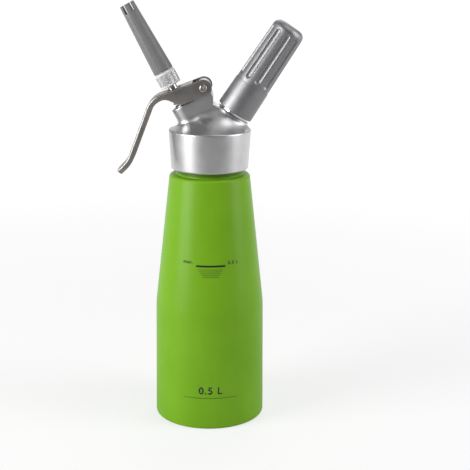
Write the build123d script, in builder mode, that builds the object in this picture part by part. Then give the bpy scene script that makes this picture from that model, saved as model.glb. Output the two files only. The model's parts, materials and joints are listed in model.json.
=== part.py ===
from build123d import *
import math
import os

# Whipped cream dispenser. All lengths are in millimetres and all angles in degrees.
# The bottle stands on Z = 0 about the Z axis. The head's plane of symmetry is Y = 0:
# the decorating tip leans towards -X, and the charger holder leans towards +X.

# ---------------------------------------------------------------- driving dimensions

# Bottle: a drawn aluminium shell with a threaded neck.
foot_radius = 40.2
foot_rounding = 2.6
waist_radius = 39.4
waist_height = 86.0
waist_blend = 5.0
shoulder_height = 182.0
shoulder_radius = 28.9
shoulder_rounding = 5.0
bottle_wall = 1.6
floor_thickness = 2.2
floor_rise = 5.5
foot_ring_width = 5.0
neck_root_radius = 23.7
neck_wall = 1.8
neck_length = 16.0

# Screw threads: a ridge on each side, which lie in each other's gaps.
thread_clearance = 0.4
neck_thread_depth = 1.2
neck_thread_lead = 8.0
neck_thread_starts = 2
neck_thread_turns = 1.0
neck_thread_foot = 1.9
small_thread_lead = 3.0
small_thread_foot = 1.3
thread_flank = 0.45
thread_sink = 0.3
neck_thread_drop = 10.5

# Clearances.
seat_gap = 0.05
running_gap = 0.08
free_gap = 0.3

# How far a cutter runs past the face that it opens.
cut_over = 1.0
pocket_cut_over = 4.0
lever_cut_reach = 200.0

# Head: a cast and turned aluminium cap with two leaning ports. Its heights are counted from the rim.
gasket_thickness = 2.4
skirt_drop = 11.8
skirt_foot_wall = 2.4
skirt_foot_rounding = 1.0
skirt_rise = 15.9
skirt_top_wall = 4.0
skirt_top_rounding = 0.9
crown_rise = 24.5
crown_radius = 8.5

# Dispensing side, measured along the nozzle's axis from the point where it meets the Z axis.
nozzle_lean = 28.6
nozzle_base_drop = 2.7
boss_top = 40.9
boss_wall = 2.2
boss_foot = 8.0
valve_chamber_radius = 6.5
valve_seat = 12.0
relief_radius = 4.8
relief_end = 17.0
spring_pocket_radius = 6.3
spring_pocket_floor = 29.0
stem_radius = 3.5
stem_bore_radius = 1.9
stem_port_radius = 1.2
stem_port_count = 4
stem_port_rise = 2.9
stem_top = 65.0
valve_disc_thickness = 2.3
valve_disc_gap = 0.7
valve_seal_overhang = 0.2
valve_seal_thickness = 1.9
seal_ring_place = 21.2
seal_ring_wire = 0.78
spring_wire_radius = 0.5
spring_coil_radius = 5.0
spring_turns = 6
collar_radius = 6.2
collar_foot = 46.0
collar_dome_radius = 10.0

# Lever: pressed steel sheet with two ears, a web over the stem and a channel handle.
pivot_x = -4.3
pivot_rise = 46.4
lug_radius = 5.0
lug_right_x = 2.5
lug_foot_drop = 1.0
saddle_lip = 1.0
saddle_rise = 1.5
saddle_corner = 3.0
lever_web_slope = 20.5
lever_end_radius = 6.0
lever_sheet = 1.8
ear_gap = 0.7
washer_thickness = 0.5
washer_inset = 1.0
web_end = 6.4
bend_radius = 17.0
web_length = 30.2
handle_slope = 69.2
handle_length = 35.9
handle_depth = 4.2
curl_radius = 20.0
curl_slope = 46.0
curl_tail = 6.4
lever_drop = 63.5
belly_length = 17.0
handle_half_width = 8.8
taper_start = 2.4
taper_end = 28.4
tip_rounding = 6.5
lever_edge_rounding = 0.8
slot_centre = 20.0
slot_half_length = 5.2
slot_half_width = 4.6

# Pivot: a sleeve in the lug, with a screw and a barrel nut.
screw_radius = 1.95
sleeve_radius = 3.0
sleeve_wall = 0.95
screw_head_radius = 2.7
screw_head_height = 1.5
driver_slot_length = 3.2
driver_slot_width = 0.7
driver_slot_depth = 0.7

# Tip adapter and decorating tip.
adapter_foot = 56.8
adapter_top = 67.2
adapter_radius = 7.6
adapter_bore_radius = 2.6
adapter_edge = 0.5
adapter_band = 1.6
knurl_count = 48
knurl_depth = 0.22
spigot_radius = 4.5
spigot_length = 8.8
spigot_thread_depth = 0.8
spigot_thread_turns = 2.0
tip_washer_thickness = 0.7
tip_length = 52.8
tip_foot_radius = 7.3
tip_end_radius = 5.4
tip_end_wall = 1.3
tip_socket_depth = 9.4
tip_slot_count = 6
tip_slot_width = 2.3
tip_slot_length = 6.6

# Charger side, measured along the charger's axis from the point where it meets the Z axis.
charger_lean = 33.25
charger_base_rise = 1.7
port_face = 30.3
port_radius = 11.7
port_rim = 2.2
flare_radius = 18.0
flare_foot = 15.0
flare_neck_width = 1.6
flare_neck_length = 3.6
port_spigot_radius = 8.75
port_spigot_length = 10.7
port_thread_depth = 1.1
port_thread_turns = 2.0
port_recess_radius = 5.0
port_recess_rise = 1.9
gas_bore_radius = 1.5
gas_outlet_x = 9.5
check_valve_radius = 3.5
check_valve_height = 3.0
flap_radius = 2.6
flap_thickness = 0.8
flap_gap = 0.25
pin_radius = 1.1
pin_bore_radius = 0.45
pin_length = 12.5
pin_point = 2.2
pin_point_land = 0.15
pin_reach = 2.6
pin_seal_thickness = 1.5

# Gas cartridge: the common 8 g steel charger.
charger_length = 65.5
charger_radius = 8.95
charger_neck_radius = 4.35
charger_neck_length = 9.0
charger_shoulder_length = 9.0
charger_dome_height = 6.5
charger_wall = 1.2
pierced_hole_radius = 1.5

# Charger holder: a closed grip with a threaded metal insert.
holder_foot = 32.5
sleeve_foot_radius = 13.4
sleeve_top_radius = 12.95
sleeve_top = 54.8
sleeve_rounding = 0.6
grip_foot_radius = 12.6
grip_end_radius = 11.7
holder_corner = 5.0
holder_bore_gap = 0.35
holder_end_wall = 3.5
holder_pad_thickness = 1.2
insert_wall = 1.05
insert_depth = 10.5
insert_lip = 1.9
groove_count = 10
groove_start = 57.5
groove_end = 99.0
groove_cutter_radius = 3.1
groove_depth = 1.1
groove_turn = -86.0

# ---------------------------------------------------------------- derived places

rim_height = shoulder_height + neck_length
skirt_foot_height = rim_height - skirt_drop
skirt_top_height = rim_height + skirt_rise
crown_height = rim_height + crown_rise
nozzle_base_height = rim_height - nozzle_base_drop
charger_base_height = rim_height + charger_base_rise
pivot_z = rim_height + pivot_rise
lever_foot_height = pivot_z - lever_drop
taper_top = pivot_z - taper_start
taper_foot = pivot_z - taper_end

neck_bore_radius = neck_root_radius - neck_wall
neck_crest_radius = neck_root_radius + neck_thread_depth
head_bore_radius = neck_crest_radius + thread_clearance
skirt_foot_radius = head_bore_radius + skirt_foot_wall
skirt_top_radius = head_bore_radius + skirt_top_wall
boss_radius = spring_pocket_radius + boss_wall
ceiling_height = rim_height + gasket_thickness + 2 * seat_gap
check_valve_top = ceiling_height + check_valve_height
flap_top = ceiling_height + flap_gap + flap_thickness

nozzle_frame = Plane(
    origin=(0, 0, nozzle_base_height),
    x_dir=(math.cos(math.radians(nozzle_lean)), 0, math.sin(math.radians(nozzle_lean))),
    z_dir=(-math.sin(math.radians(nozzle_lean)), 0, math.cos(math.radians(nozzle_lean))),
)
charger_frame = Plane(
    origin=(0, 0, charger_base_height),
    x_dir=(math.cos(math.radians(charger_lean)), 0, -math.sin(math.radians(charger_lean))),
    z_dir=(math.sin(math.radians(charger_lean)), 0, math.cos(math.radians(charger_lean))),
)
pivot_frame = Plane(origin=(pivot_x, 0, pivot_z), x_dir=(1, 0, 0), z_dir=(0, -1, 0))
outlet_axis = Plane(origin=(gas_outlet_x, 0, 0))

ear_inner = boss_radius + ear_gap
ear_outer = ear_inner + lever_sheet

tip_foot = adapter_top + tip_washer_thickness + 2 * seat_gap
tip_end = tip_foot + tip_length
spigot_crest_radius = spigot_radius + spigot_thread_depth
tip_socket_radius = spigot_crest_radius + thread_clearance

port_crest_radius = port_spigot_radius + port_thread_depth
insert_bore_radius = port_crest_radius + thread_clearance
insert_radius = insert_bore_radius + insert_wall
insert_foot = holder_foot - insert_lip
insert_top = holder_foot + insert_depth
port_thread_low = insert_foot + small_thread_foot
holder_bore_radius = charger_radius + holder_bore_gap
recess_floor = port_face + port_recess_rise
pin_seal_top = recess_floor + seat_gap + pin_seal_thickness
charger_foot = pin_seal_top + seat_gap
charger_top = charger_foot + charger_length
holder_bore_end = charger_top + 2 * seat_gap + holder_pad_thickness
holder_end = holder_bore_end + holder_end_wall


# ---------------------------------------------------------------- helpers

def section_of(frame):
    """The plane that holds a turned part's half section: its x is the radius, its y the axis."""
    return Plane(origin=frame.origin, x_dir=frame.x_dir, z_dir=-frame.y_dir)


def corner_at(sketch, x, y):
    """The sketch's corner nearest to a place in the sketch's own plane."""
    return sketch.vertices().sort_by_distance((x, y, 0))[0]


def turn(frame, outline, mode=Mode.ADD):
    """Turn a closed outline of (radius, height) points about the frame's axis."""
    with BuildSketch(section_of(frame)) as section:
        with BuildLine():
            Polyline(*outline, close=True)
        make_face()
    revolve(section.sketch, axis=Axis(frame.origin, frame.z_dir), mode=mode)


def rod(frame, radius, low, high, mode=Mode.ADD):
    """A round bar, or a round hole, along the frame's axis from low to high."""
    with BuildSketch(frame.offset(low)) as disc:
        Circle(radius)
    extrude(disc.sketch, amount=high - low, dir=frame.z_dir, mode=mode)


def thread_ridge(frame, radius, depth, lead, turns, foot, low, angle, inward=False):
    """One helical ridge of a right-hand thread. It starts at height low, on the given angle."""
    side = -1 if inward else 1
    crest = foot - 2 * depth * thread_flank
    with BuildPart() as ridge:
        with BuildLine() as path:
            Helix(pitch=lead, height=lead * turns, radius=radius)
        with BuildSketch(Plane(origin=path.line @ 0, x_dir=(1, 0, 0), z_dir=path.line % 0)):
            with BuildLine():
                Polyline(
                    (-side * thread_sink, -foot / 2),
                    (0, -foot / 2),
                    (side * depth, -crest / 2),
                    (side * depth, crest / 2),
                    (0, foot / 2),
                    (-side * thread_sink, foot / 2),
                    close=True,
                )
            make_face()
        sweep(path=path.line, is_frenet=True)
    return ridge.part.moved(frame.location * Location((0, 0, low), (0, 0, angle)))


def rims(builder, frame):
    """The builder's circular edges, from the lowest to the highest along the frame's axis."""
    return builder.edges().filter_by(GeomType.CIRCLE).sort_by(Axis(frame.origin, frame.z_dir))


def finish(builder, label):
    """Name a finished piece and write it."""
    builder.part.label = label
    export_step(builder.part, f"parts/{label}.step")


os.makedirs("parts", exist_ok=True)

# ---------------------------------------------------------------- bottle

thread_pitch = neck_thread_lead / neck_thread_starts
neck_thread_low = rim_height - neck_thread_drop
neck_ridges = [
    thread_ridge(
        Plane.XY,
        neck_root_radius,
        neck_thread_depth,
        neck_thread_lead,
        neck_thread_turns,
        neck_thread_foot,
        neck_thread_low,
        360 / neck_thread_starts * k,
    )
    for k in range(neck_thread_starts)
]

foot_corner = Vector(foot_radius, 0)
waist_corner = Vector(waist_radius, waist_height)
shoulder_corner = Vector(shoulder_radius, shoulder_height)
waist_low = waist_corner + (foot_corner - waist_corner).normalized() * waist_blend
waist_high = waist_corner + (shoulder_corner - waist_corner).normalized() * waist_blend

with BuildPart() as bottle_shell:
    with BuildSketch(Plane.XZ) as outside:
        with BuildLine():
            Polyline((0, rim_height), (0, 0), foot_corner, waist_low)
            Bezier(waist_low, waist_corner, waist_high)
            Polyline(waist_high, shoulder_corner, (neck_root_radius, shoulder_height))
            Polyline((neck_root_radius, shoulder_height), (neck_root_radius, rim_height), (0, rim_height))
        make_face()
        fillet(corner_at(outside, foot_radius, 0), foot_rounding)
        fillet(corner_at(outside, shoulder_radius, shoulder_height), shoulder_rounding)
        chamfer(corner_at(outside, neck_root_radius, rim_height), length=neck_wall / 4)
    revolve(axis=Axis.Z)
    with BuildSketch(Plane.XZ) as inside:
        inner_shoulder = shoulder_height - bottle_wall
        with BuildLine():
            Polyline(
                (0, floor_thickness + floor_rise),
                (foot_radius - foot_ring_width - bottle_wall, floor_thickness + floor_rise),
                (foot_radius - 2 * bottle_wall, floor_thickness),
                (foot_radius - bottle_wall, floor_thickness + foot_rounding),
                (waist_radius - bottle_wall, waist_height),
                (shoulder_radius - bottle_wall, inner_shoulder - shoulder_rounding),
                (neck_bore_radius, inner_shoulder),
                (neck_bore_radius, rim_height + cut_over),
                (0, rim_height + cut_over),
                close=True,
            )
        make_face()
    revolve(axis=Axis.Z, mode=Mode.SUBTRACT)
    # The domed underside, which leaves a ring to stand on.
    dome_edge = foot_radius - foot_ring_width
    dome_radius = (dome_edge**2 + floor_rise**2) / (2 * floor_rise)
    with Locations((0, 0, floor_rise - dome_radius)):
        Sphere(dome_radius, mode=Mode.SUBTRACT)
    add(neck_ridges)
finish(bottle_shell, "bottle_shell")

with BuildPart() as head_gasket:
    turn(
        Plane.XY.offset(rim_height + seat_gap),
        [
            (neck_bore_radius + seat_gap, 0),
            (neck_root_radius, 0),
            (neck_root_radius, gasket_thickness),
            (neck_bore_radius + seat_gap, gasket_thickness),
        ],
    )
finish(head_gasket, "head_gasket")

# ---------------------------------------------------------------- head

head_ridges = [
    thread_ridge(
        Plane.XY,
        head_bore_radius,
        neck_thread_depth,
        neck_thread_lead,
        neck_thread_turns,
        neck_thread_foot,
        neck_thread_low + thread_pitch / 2,
        360 / neck_thread_starts * k,
        inward=True,
    )
    for k in range(neck_thread_starts)
]
port_ridge = thread_ridge(
    charger_frame,
    port_spigot_radius,
    port_thread_depth,
    small_thread_lead,
    port_thread_turns,
    small_thread_foot,
    port_thread_low,
    0,
)

# Points in the head's plane of symmetry, as (X, Z).
boss_axis_low = nozzle_frame.from_local_coords((0, 0, boss_foot))
boss_axis_top = nozzle_frame.from_local_coords((0, 0, boss_top))
saddle_end = nozzle_frame.from_local_coords((boss_radius + saddle_lip, 0, boss_top))
port_left = charger_frame.from_local_coords((-port_radius, 0, port_face))
saddle_foot_height = ceiling_height + bottle_wall

with BuildPart() as head_body:
    # The turned cap, solid at first.
    with BuildSketch(Plane.XZ) as cap:
        with BuildLine():
            Polyline(
                (0, skirt_foot_height),
                (skirt_foot_radius, skirt_foot_height),
                (skirt_top_radius, skirt_top_height),
                (crown_radius, crown_height),
                (0, crown_height),
                close=True,
            )
        make_face()
        fillet(corner_at(cap, skirt_foot_radius, skirt_foot_height), skirt_foot_rounding)
        fillet(corner_at(cap, skirt_top_radius, skirt_top_height), skirt_top_rounding)
    revolve(axis=Axis.Z)
    # The saddle between the two ports, with the lug for the lever's pivot.
    with BuildSketch(Plane.XZ):
        with BuildLine():
            Polyline(
                (boss_axis_low.X, boss_axis_low.Z),
                (boss_axis_top.X, boss_axis_top.Z),
                (saddle_end.X, saddle_end.Z),
                (pivot_x - lug_radius, pivot_z),
                (pivot_x + lug_radius, pivot_z),
                (lug_right_x, pivot_z - lug_radius - lug_foot_drop),
                (lug_right_x, port_left.Z + saddle_rise),
                (port_left.X + saddle_corner, port_left.Z - saddle_corner),
                (gas_outlet_x, saddle_foot_height),
                close=True,
            )
        make_face()
        with Locations((pivot_x, pivot_z)):
            Circle(lug_radius)
    extrude(amount=boss_radius, both=True)
    rod(nozzle_frame, boss_radius, boss_foot, boss_top)
    # The charger port: a flared neck under a flat face.
    turn(
        charger_frame,
        [
            (0, flare_foot),
            (flare_radius, flare_foot),
            (port_radius + flare_neck_width, port_face - port_rim - flare_neck_length),
            (port_radius, port_face - port_rim),
            (port_radius, port_face),
            (0, port_face),
        ],
    )
    rod(charger_frame, port_spigot_radius, port_face, port_face + port_spigot_length)
    add(port_ridge)
    # The bore that screws on the bottle, and the flat ceiling over the gasket.
    rod(Plane.XY, head_bore_radius, skirt_foot_height - cut_over, ceiling_height, Mode.SUBTRACT)
    add(head_ridges)
    # The valve's stepped bore.
    rod(nozzle_frame, valve_chamber_radius, 0, valve_seat, Mode.SUBTRACT)
    rod(nozzle_frame, relief_radius, valve_seat, relief_end, Mode.SUBTRACT)
    rod(nozzle_frame, stem_radius + running_gap, relief_end, boss_top, Mode.SUBTRACT)
    rod(nozzle_frame, spring_pocket_radius, spring_pocket_floor, boss_top + pocket_cut_over, Mode.SUBTRACT)
    ring_outside = stem_radius + running_gap + 2 * seal_ring_wire + seat_gap
    rod(
        nozzle_frame,
        ring_outside,
        seal_ring_place - 1.3 * seal_ring_wire,
        seal_ring_place + 1.3 * seal_ring_wire,
        Mode.SUBTRACT,
    )
    # The recess for the charger's neck, and the gas passage down to the check valve.
    rod(
        charger_frame,
        port_recess_radius,
        recess_floor,
        port_face + port_spigot_length + cut_over,
        Mode.SUBTRACT,
    )
    outlet_turn = gas_outlet_x / math.sin(math.radians(charger_lean))
    outlet_top = charger_base_height + gas_outlet_x / math.tan(math.radians(charger_lean))
    rod(charger_frame, gas_bore_radius, outlet_turn - gas_bore_radius, recess_floor + cut_over, Mode.SUBTRACT)
    rod(outlet_axis, gas_bore_radius, ceiling_height - cut_over, outlet_top, Mode.SUBTRACT)
    rod(outlet_axis, check_valve_radius, ceiling_height - cut_over, check_valve_top, Mode.SUBTRACT)
    # The pivot's cross bore.
    with BuildSketch(pivot_frame):
        Circle(sleeve_radius + seat_gap)
    extrude(amount=boss_radius + cut_over, both=True, mode=Mode.SUBTRACT)
finish(head_body, "head_body")

# ---------------------------------------------------------------- dispensing valve

stem_port_height = valve_seat + stem_port_rise
disc_top = valve_seat - seat_gap - valve_seal_thickness - seat_gap
disc_radius = valve_chamber_radius - valve_disc_gap
pivot_local = nozzle_frame.to_local_coords(Vector(pivot_x, 0, pivot_z))
web_lean = math.radians(lever_web_slope - nozzle_lean)
web_underside = lever_end_radius - lever_sheet
collar_dome_centre = pivot_local.Z + (
    web_underside - collar_dome_radius - 2 * seat_gap - pivot_local.X * math.sin(web_lean)
) / math.cos(web_lean)
collar_dome_top = collar_dome_centre + collar_dome_radius

with BuildPart() as valve_stem:
    rod(nozzle_frame, stem_radius, disc_top - valve_disc_thickness, stem_top)
    rod(nozzle_frame, disc_radius, disc_top - valve_disc_thickness, disc_top)
    chamfer(rims(valve_stem, nozzle_frame)[-1], length=stem_radius / 8)
    rod(nozzle_frame, stem_bore_radius, stem_port_height - stem_port_radius, stem_top, Mode.SUBTRACT)
    for k in range(stem_port_count):
        port_direction = Location((0, 0, stem_port_height), (0, 90, 0))
        port_turn = Location((0, 0, 0), (0, 0, 360 / stem_port_count * (k + 0.5)))
        with BuildSketch(Plane(nozzle_frame.location * port_turn * port_direction)):
            Circle(stem_port_radius)
        extrude(amount=stem_radius + cut_over, mode=Mode.SUBTRACT)
finish(valve_stem, "valve_stem")

with BuildPart() as valve_seal:
    seal_low = disc_top + seat_gap
    rod(nozzle_frame, disc_radius + valve_seal_overhang, seal_low, seal_low + valve_seal_thickness)
    rod(nozzle_frame, stem_radius + seat_gap, disc_top, valve_seat, Mode.SUBTRACT)
finish(valve_seal, "valve_seal")

with BuildPart() as stem_o_ring:
    with BuildSketch(section_of(nozzle_frame)):
        with Locations((stem_radius + running_gap + seal_ring_wire, seal_ring_place)):
            Circle(seal_ring_wire)
    revolve(axis=Axis(nozzle_frame.origin, nozzle_frame.z_dir))
finish(stem_o_ring, "stem_o_ring")

with BuildPart() as spring_collar:
    with BuildSketch(section_of(nozzle_frame)):
        shoulder_v = collar_dome_centre + math.sqrt(collar_dome_radius**2 - collar_radius**2)
        with BuildLine():
            foot_edge = (collar_radius, collar_foot)
            dome_edge = (collar_radius, shoulder_v)
            Polyline((0, collar_dome_top), (0, collar_foot), foot_edge, dome_edge)
            RadiusArc(dome_edge, (0, collar_dome_top), -collar_dome_radius)
        make_face()
    revolve(axis=Axis(nozzle_frame.origin, nozzle_frame.z_dir))
    bore_low, bore_high = collar_foot - cut_over, collar_dome_top + cut_over
    rod(nozzle_frame, stem_radius + seat_gap, bore_low, bore_high, Mode.SUBTRACT)
finish(spring_collar, "spring_collar")

spring_low = spring_pocket_floor + seat_gap + spring_wire_radius
spring_high = collar_foot - seat_gap - spring_wire_radius
with BuildPart() as spring_coil:
    with BuildLine() as coil_path:
        Helix(
            pitch=(spring_high - spring_low) / spring_turns,
            height=spring_high - spring_low,
            radius=spring_coil_radius,
        )
    with BuildSketch(Plane(origin=coil_path.line @ 0, z_dir=coil_path.line % 0)):
        Circle(spring_wire_radius)
    sweep(path=coil_path.line, is_frenet=True)
with BuildPart() as valve_spring:
    add(spring_coil.part.moved(nozzle_frame.location * Location((0, 0, spring_low))))
finish(valve_spring, "valve_spring")

# ---------------------------------------------------------------- lever

web_frame = Plane(
    origin=(pivot_x, 0, pivot_z),
    x_dir=(-math.cos(math.radians(lever_web_slope)), 0, -math.sin(math.radians(lever_web_slope))),
    z_dir=(0, 1, 0),
)
web_top = Plane(origin=web_frame.origin, x_dir=web_frame.x_dir, z_dir=web_frame.y_dir)


def lever_side(first, depth, tail):
    """Draw the lever's outer line, moved inwards by depth. Return its first and last point."""
    web = Line((first, lever_end_radius - depth), (web_length, lever_end_radius - depth))
    bend = JernArc(web @ 1, web % 1, bend_radius - depth, lever_web_slope - handle_slope)
    handle = PolarLine(bend @ 1, handle_length, direction=bend % 1)
    curl = JernArc(handle @ 1, handle % 1, curl_radius + depth, handle_slope - curl_slope)
    end = PolarLine(curl @ 1, tail, direction=curl % 1)
    return web @ 0, end @ 1


def lever_front(inset):
    """The lever's outline seen from the front, moved inwards by inset."""
    ear = ear_outer - inset
    grip = handle_half_width - inset
    foot = lever_foot_height + inset
    with BuildSketch(Plane.YZ) as front:
        with BuildLine():
            for side in (1, -1):
                Line((0, pivot_z + 2 * lever_end_radius), (side * ear, pivot_z + 2 * lever_end_radius))
                Line((side * ear, pivot_z + 2 * lever_end_radius), (side * ear, taper_top))
                Spline((side * ear, taper_top), (side * grip, taper_foot), tangents=[(0, -1), (0, -1)])
                Line((side * grip, taper_foot), (side * grip, foot))
                Line((side * grip, foot), (0, foot))
        make_face()
        fillet(front.vertices().group_by(Axis.Y)[0].sort_by(Axis.X)[0::2], tip_rounding - inset)
    return front.sketch


with BuildPart() as lever_inside:
    with BuildSketch(web_frame):
        with BuildLine():
            first, last = lever_side(-2 * lever_end_radius, lever_sheet, curl_tail - lever_sheet)
            end_slope = math.radians(lever_web_slope - curl_slope)
            deep = 3 * handle_depth
            Polyline(
                last,
                (last.X + deep * math.sin(end_slope), last.Y - deep * math.cos(end_slope)),
                (first.X, last.Y - deep),
                first,
            )
        make_face()
    extrude(amount=ear_outer + cut_over, both=True)
    extrude(lever_front(lever_sheet), amount=lever_cut_reach, both=True, mode=Mode.INTERSECT)

with BuildPart() as lever:
    with BuildSketch(web_frame):
        with BuildLine():
            top, outer_end = lever_side(0, 0, curl_tail)
            neck, inner_end = lever_side(web_length - seat_gap / 5, handle_depth, curl_tail)
            Line(outer_end, inner_end)
            Spline(neck, (belly_length, -lever_end_radius), tangents=[(-1, 0), (-1, 0)])
            Line((belly_length, -lever_end_radius), (0, -lever_end_radius))
            ThreePointArc((0, -lever_end_radius), (-lever_end_radius, 0), top)
        make_face()
    extrude(amount=ear_outer + cut_over, both=True)
    extrude(lever_front(0), amount=lever_cut_reach, both=True, mode=Mode.INTERSECT)
    # Round the edges that run along the lever.
    long_edges = [e for e in lever.edges() if abs((e % 0.5).Y) < 0.9]
    fillet(long_edges, lever_edge_rounding)
    add(lever_inside.part, mode=Mode.SUBTRACT)
    # Past the web's end, the ears stand alone.
    with BuildSketch(web_top):
        with Locations((web_end, 0)):
            Rectangle(4 * lever_end_radius, 2 * ear_inner, align=(Align.MAX, Align.CENTER))
    extrude(amount=2 * lever_end_radius, mode=Mode.SUBTRACT)
    # The hole that the stem passes through.
    with BuildSketch(web_top):
        with Locations((slot_centre, 0)):
            Ellipse(slot_half_length, slot_half_width)
    extrude(amount=2 * lever_end_radius, mode=Mode.SUBTRACT)
    with BuildSketch(pivot_frame):
        Circle(screw_radius + running_gap)
    extrude(amount=2 * ear_outer, both=True, mode=Mode.SUBTRACT)
finish(lever, "lever")

# ---------------------------------------------------------------- pivot

with BuildPart() as pivot_sleeve:
    with BuildSketch(pivot_frame):
        Circle(sleeve_radius)
        Circle(sleeve_radius - sleeve_wall, mode=Mode.SUBTRACT)
    extrude(amount=boss_radius + seat_gap, both=True)
finish(pivot_sleeve, "pivot_sleeve")

with BuildPart() as lever_washers:
    for side in (1, -1):
        near = side * (boss_radius + (ear_gap - washer_thickness) / 2)
        with BuildSketch(pivot_frame.offset(near)):
            Circle(lever_end_radius - washer_inset)
            Circle(screw_radius + running_gap, mode=Mode.SUBTRACT)
        extrude(amount=side * washer_thickness)
finish(lever_washers, "lever_washers")

head_seat = ear_outer + seat_gap
with BuildPart() as pivot_screw:
    with BuildSketch(pivot_frame.offset(-ear_outer + lever_sheet / 2)):
        Circle(screw_radius)
    extrude(amount=head_seat + ear_outer - lever_sheet / 2)
    with BuildSketch(pivot_frame.offset(head_seat)):
        Circle(screw_head_radius)
    extrude(amount=screw_head_height)
    fillet(pivot_screw.edges().sort_by(Axis.Y)[0], screw_head_height * 0.6)
    with BuildSketch(pivot_frame.offset(head_seat + screw_head_height)):
        Rectangle(driver_slot_length, driver_slot_width)
        Rectangle(driver_slot_width, driver_slot_length)
    extrude(amount=-driver_slot_depth, mode=Mode.SUBTRACT)
finish(pivot_screw, "pivot_screw")

with BuildPart() as pivot_nut:
    with BuildSketch(pivot_frame.offset(-head_seat)):
        Circle(screw_head_radius)
    extrude(amount=-screw_head_height)
    fillet(pivot_nut.edges().sort_by(Axis.Y)[-1], screw_head_height * 0.6)
finish(pivot_nut, "pivot_nut")

# ---------------------------------------------------------------- decorating side

spigot_ridge = thread_ridge(
    nozzle_frame,
    spigot_radius,
    spigot_thread_depth,
    small_thread_lead,
    spigot_thread_turns,
    small_thread_foot,
    tip_foot + small_thread_foot,
    0,
)
with BuildPart() as tip_adapter:
    rod(nozzle_frame, adapter_radius, adapter_foot, adapter_top)
    chamfer(rims(tip_adapter, nozzle_frame), length=adapter_edge)
    # Straight knurling between the two chamfers.
    with BuildSketch(nozzle_frame.offset(adapter_foot + adapter_band)):
        with PolarLocations(adapter_radius, knurl_count):
            RegularPolygon(knurl_depth, 4)
    extrude(amount=adapter_top - adapter_foot - 2 * adapter_band, mode=Mode.SUBTRACT)
    rod(nozzle_frame, spigot_radius, adapter_top, adapter_top + spigot_length)
    add(spigot_ridge)
    rod(nozzle_frame, adapter_bore_radius, adapter_foot, adapter_top + spigot_length, Mode.SUBTRACT)
    rod(nozzle_frame, stem_radius + seat_gap, adapter_foot - cut_over, stem_top + seat_gap, Mode.SUBTRACT)
finish(tip_adapter, "tip_adapter")

with BuildPart() as tip_washer:
    rod(nozzle_frame, tip_foot_radius - free_gap, adapter_top + seat_gap, tip_foot - seat_gap)
    rod(nozzle_frame, spigot_crest_radius + free_gap, adapter_top, tip_foot, Mode.SUBTRACT)
finish(tip_washer, "tip_washer")

tip_ridge = thread_ridge(
    nozzle_frame,
    tip_socket_radius,
    spigot_thread_depth,
    small_thread_lead,
    spigot_thread_turns,
    small_thread_foot,
    tip_foot + small_thread_foot + small_thread_lead / 2,
    0,
    inward=True,
)
tip_bore_radius = spigot_radius
with BuildPart() as decorating_tip:
    turn(
        nozzle_frame,
        [(0, tip_foot), (tip_foot_radius, tip_foot), (tip_end_radius, tip_end), (0, tip_end)],
    )
    chamfer(rims(decorating_tip, nozzle_frame)[0], length=tip_end_wall / 4)
    socket_top = tip_foot + tip_socket_depth
    turn(
        nozzle_frame,
        [
            (0, tip_foot - cut_over),
            (tip_socket_radius, tip_foot - cut_over),
            (tip_socket_radius, socket_top),
            (tip_bore_radius, socket_top + tip_socket_radius - tip_bore_radius),
            (tip_end_radius - tip_end_wall, tip_end + cut_over),
            (0, tip_end + cut_over),
        ],
        Mode.SUBTRACT,
    )
    add(tip_ridge)
    # The slots that give the open star.
    for k in range(tip_slot_count):
        angle = math.radians(360 / tip_slot_count * (k + 0.5) - 90)
        outwards = (math.cos(angle), math.sin(angle), 0)
        across = Plane(origin=(0, 0, tip_end), x_dir=(0, 0, 1), z_dir=outwards)
        with BuildSketch(Plane(nozzle_frame.location * across.location)):
            straight = tip_slot_length - tip_slot_width / 2
            with Locations((-straight, 0)):
                Circle(tip_slot_width / 2)
                Rectangle(straight + cut_over, tip_slot_width, align=(Align.MIN, Align.CENTER))
        extrude(amount=tip_end_radius + cut_over, mode=Mode.SUBTRACT)
finish(decorating_tip, "decorating_tip")

# ---------------------------------------------------------------- charger side

with BuildPart() as pin_seal:
    rod(charger_frame, port_recess_radius - seat_gap, recess_floor + seat_gap, pin_seal_top)
    rod(charger_frame, gas_bore_radius + seat_gap, recess_floor, pin_seal_top + cut_over, Mode.SUBTRACT)
finish(pin_seal, "pin_seal")

with BuildPart() as piercing_pin:
    pin_end = charger_foot + pin_reach
    turn(
        charger_frame,
        [
            (pin_bore_radius, pin_end - pin_length),
            (gas_bore_radius - seat_gap, pin_end - pin_length),
            (gas_bore_radius - seat_gap, recess_floor),
            (pin_radius, recess_floor),
            (pin_radius, pin_end - pin_point),
            (pin_bore_radius + pin_point_land, pin_end),
            (pin_bore_radius, pin_end),
        ],
    )
finish(piercing_pin, "piercing_pin")

with BuildPart() as check_valve_body:
    rod(outlet_axis, check_valve_radius - seat_gap, ceiling_height, check_valve_top - seat_gap)
    rod(outlet_axis, gas_bore_radius, ceiling_height - cut_over, check_valve_top, Mode.SUBTRACT)
    rod(outlet_axis, flap_radius + flap_gap, ceiling_height - cut_over, flap_top + seat_gap, Mode.SUBTRACT)
finish(check_valve_body, "check_valve_body")

with BuildPart() as check_valve_flap:
    rod(outlet_axis, flap_radius, flap_top - flap_thickness, flap_top)
finish(check_valve_flap, "check_valve_flap")


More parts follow.
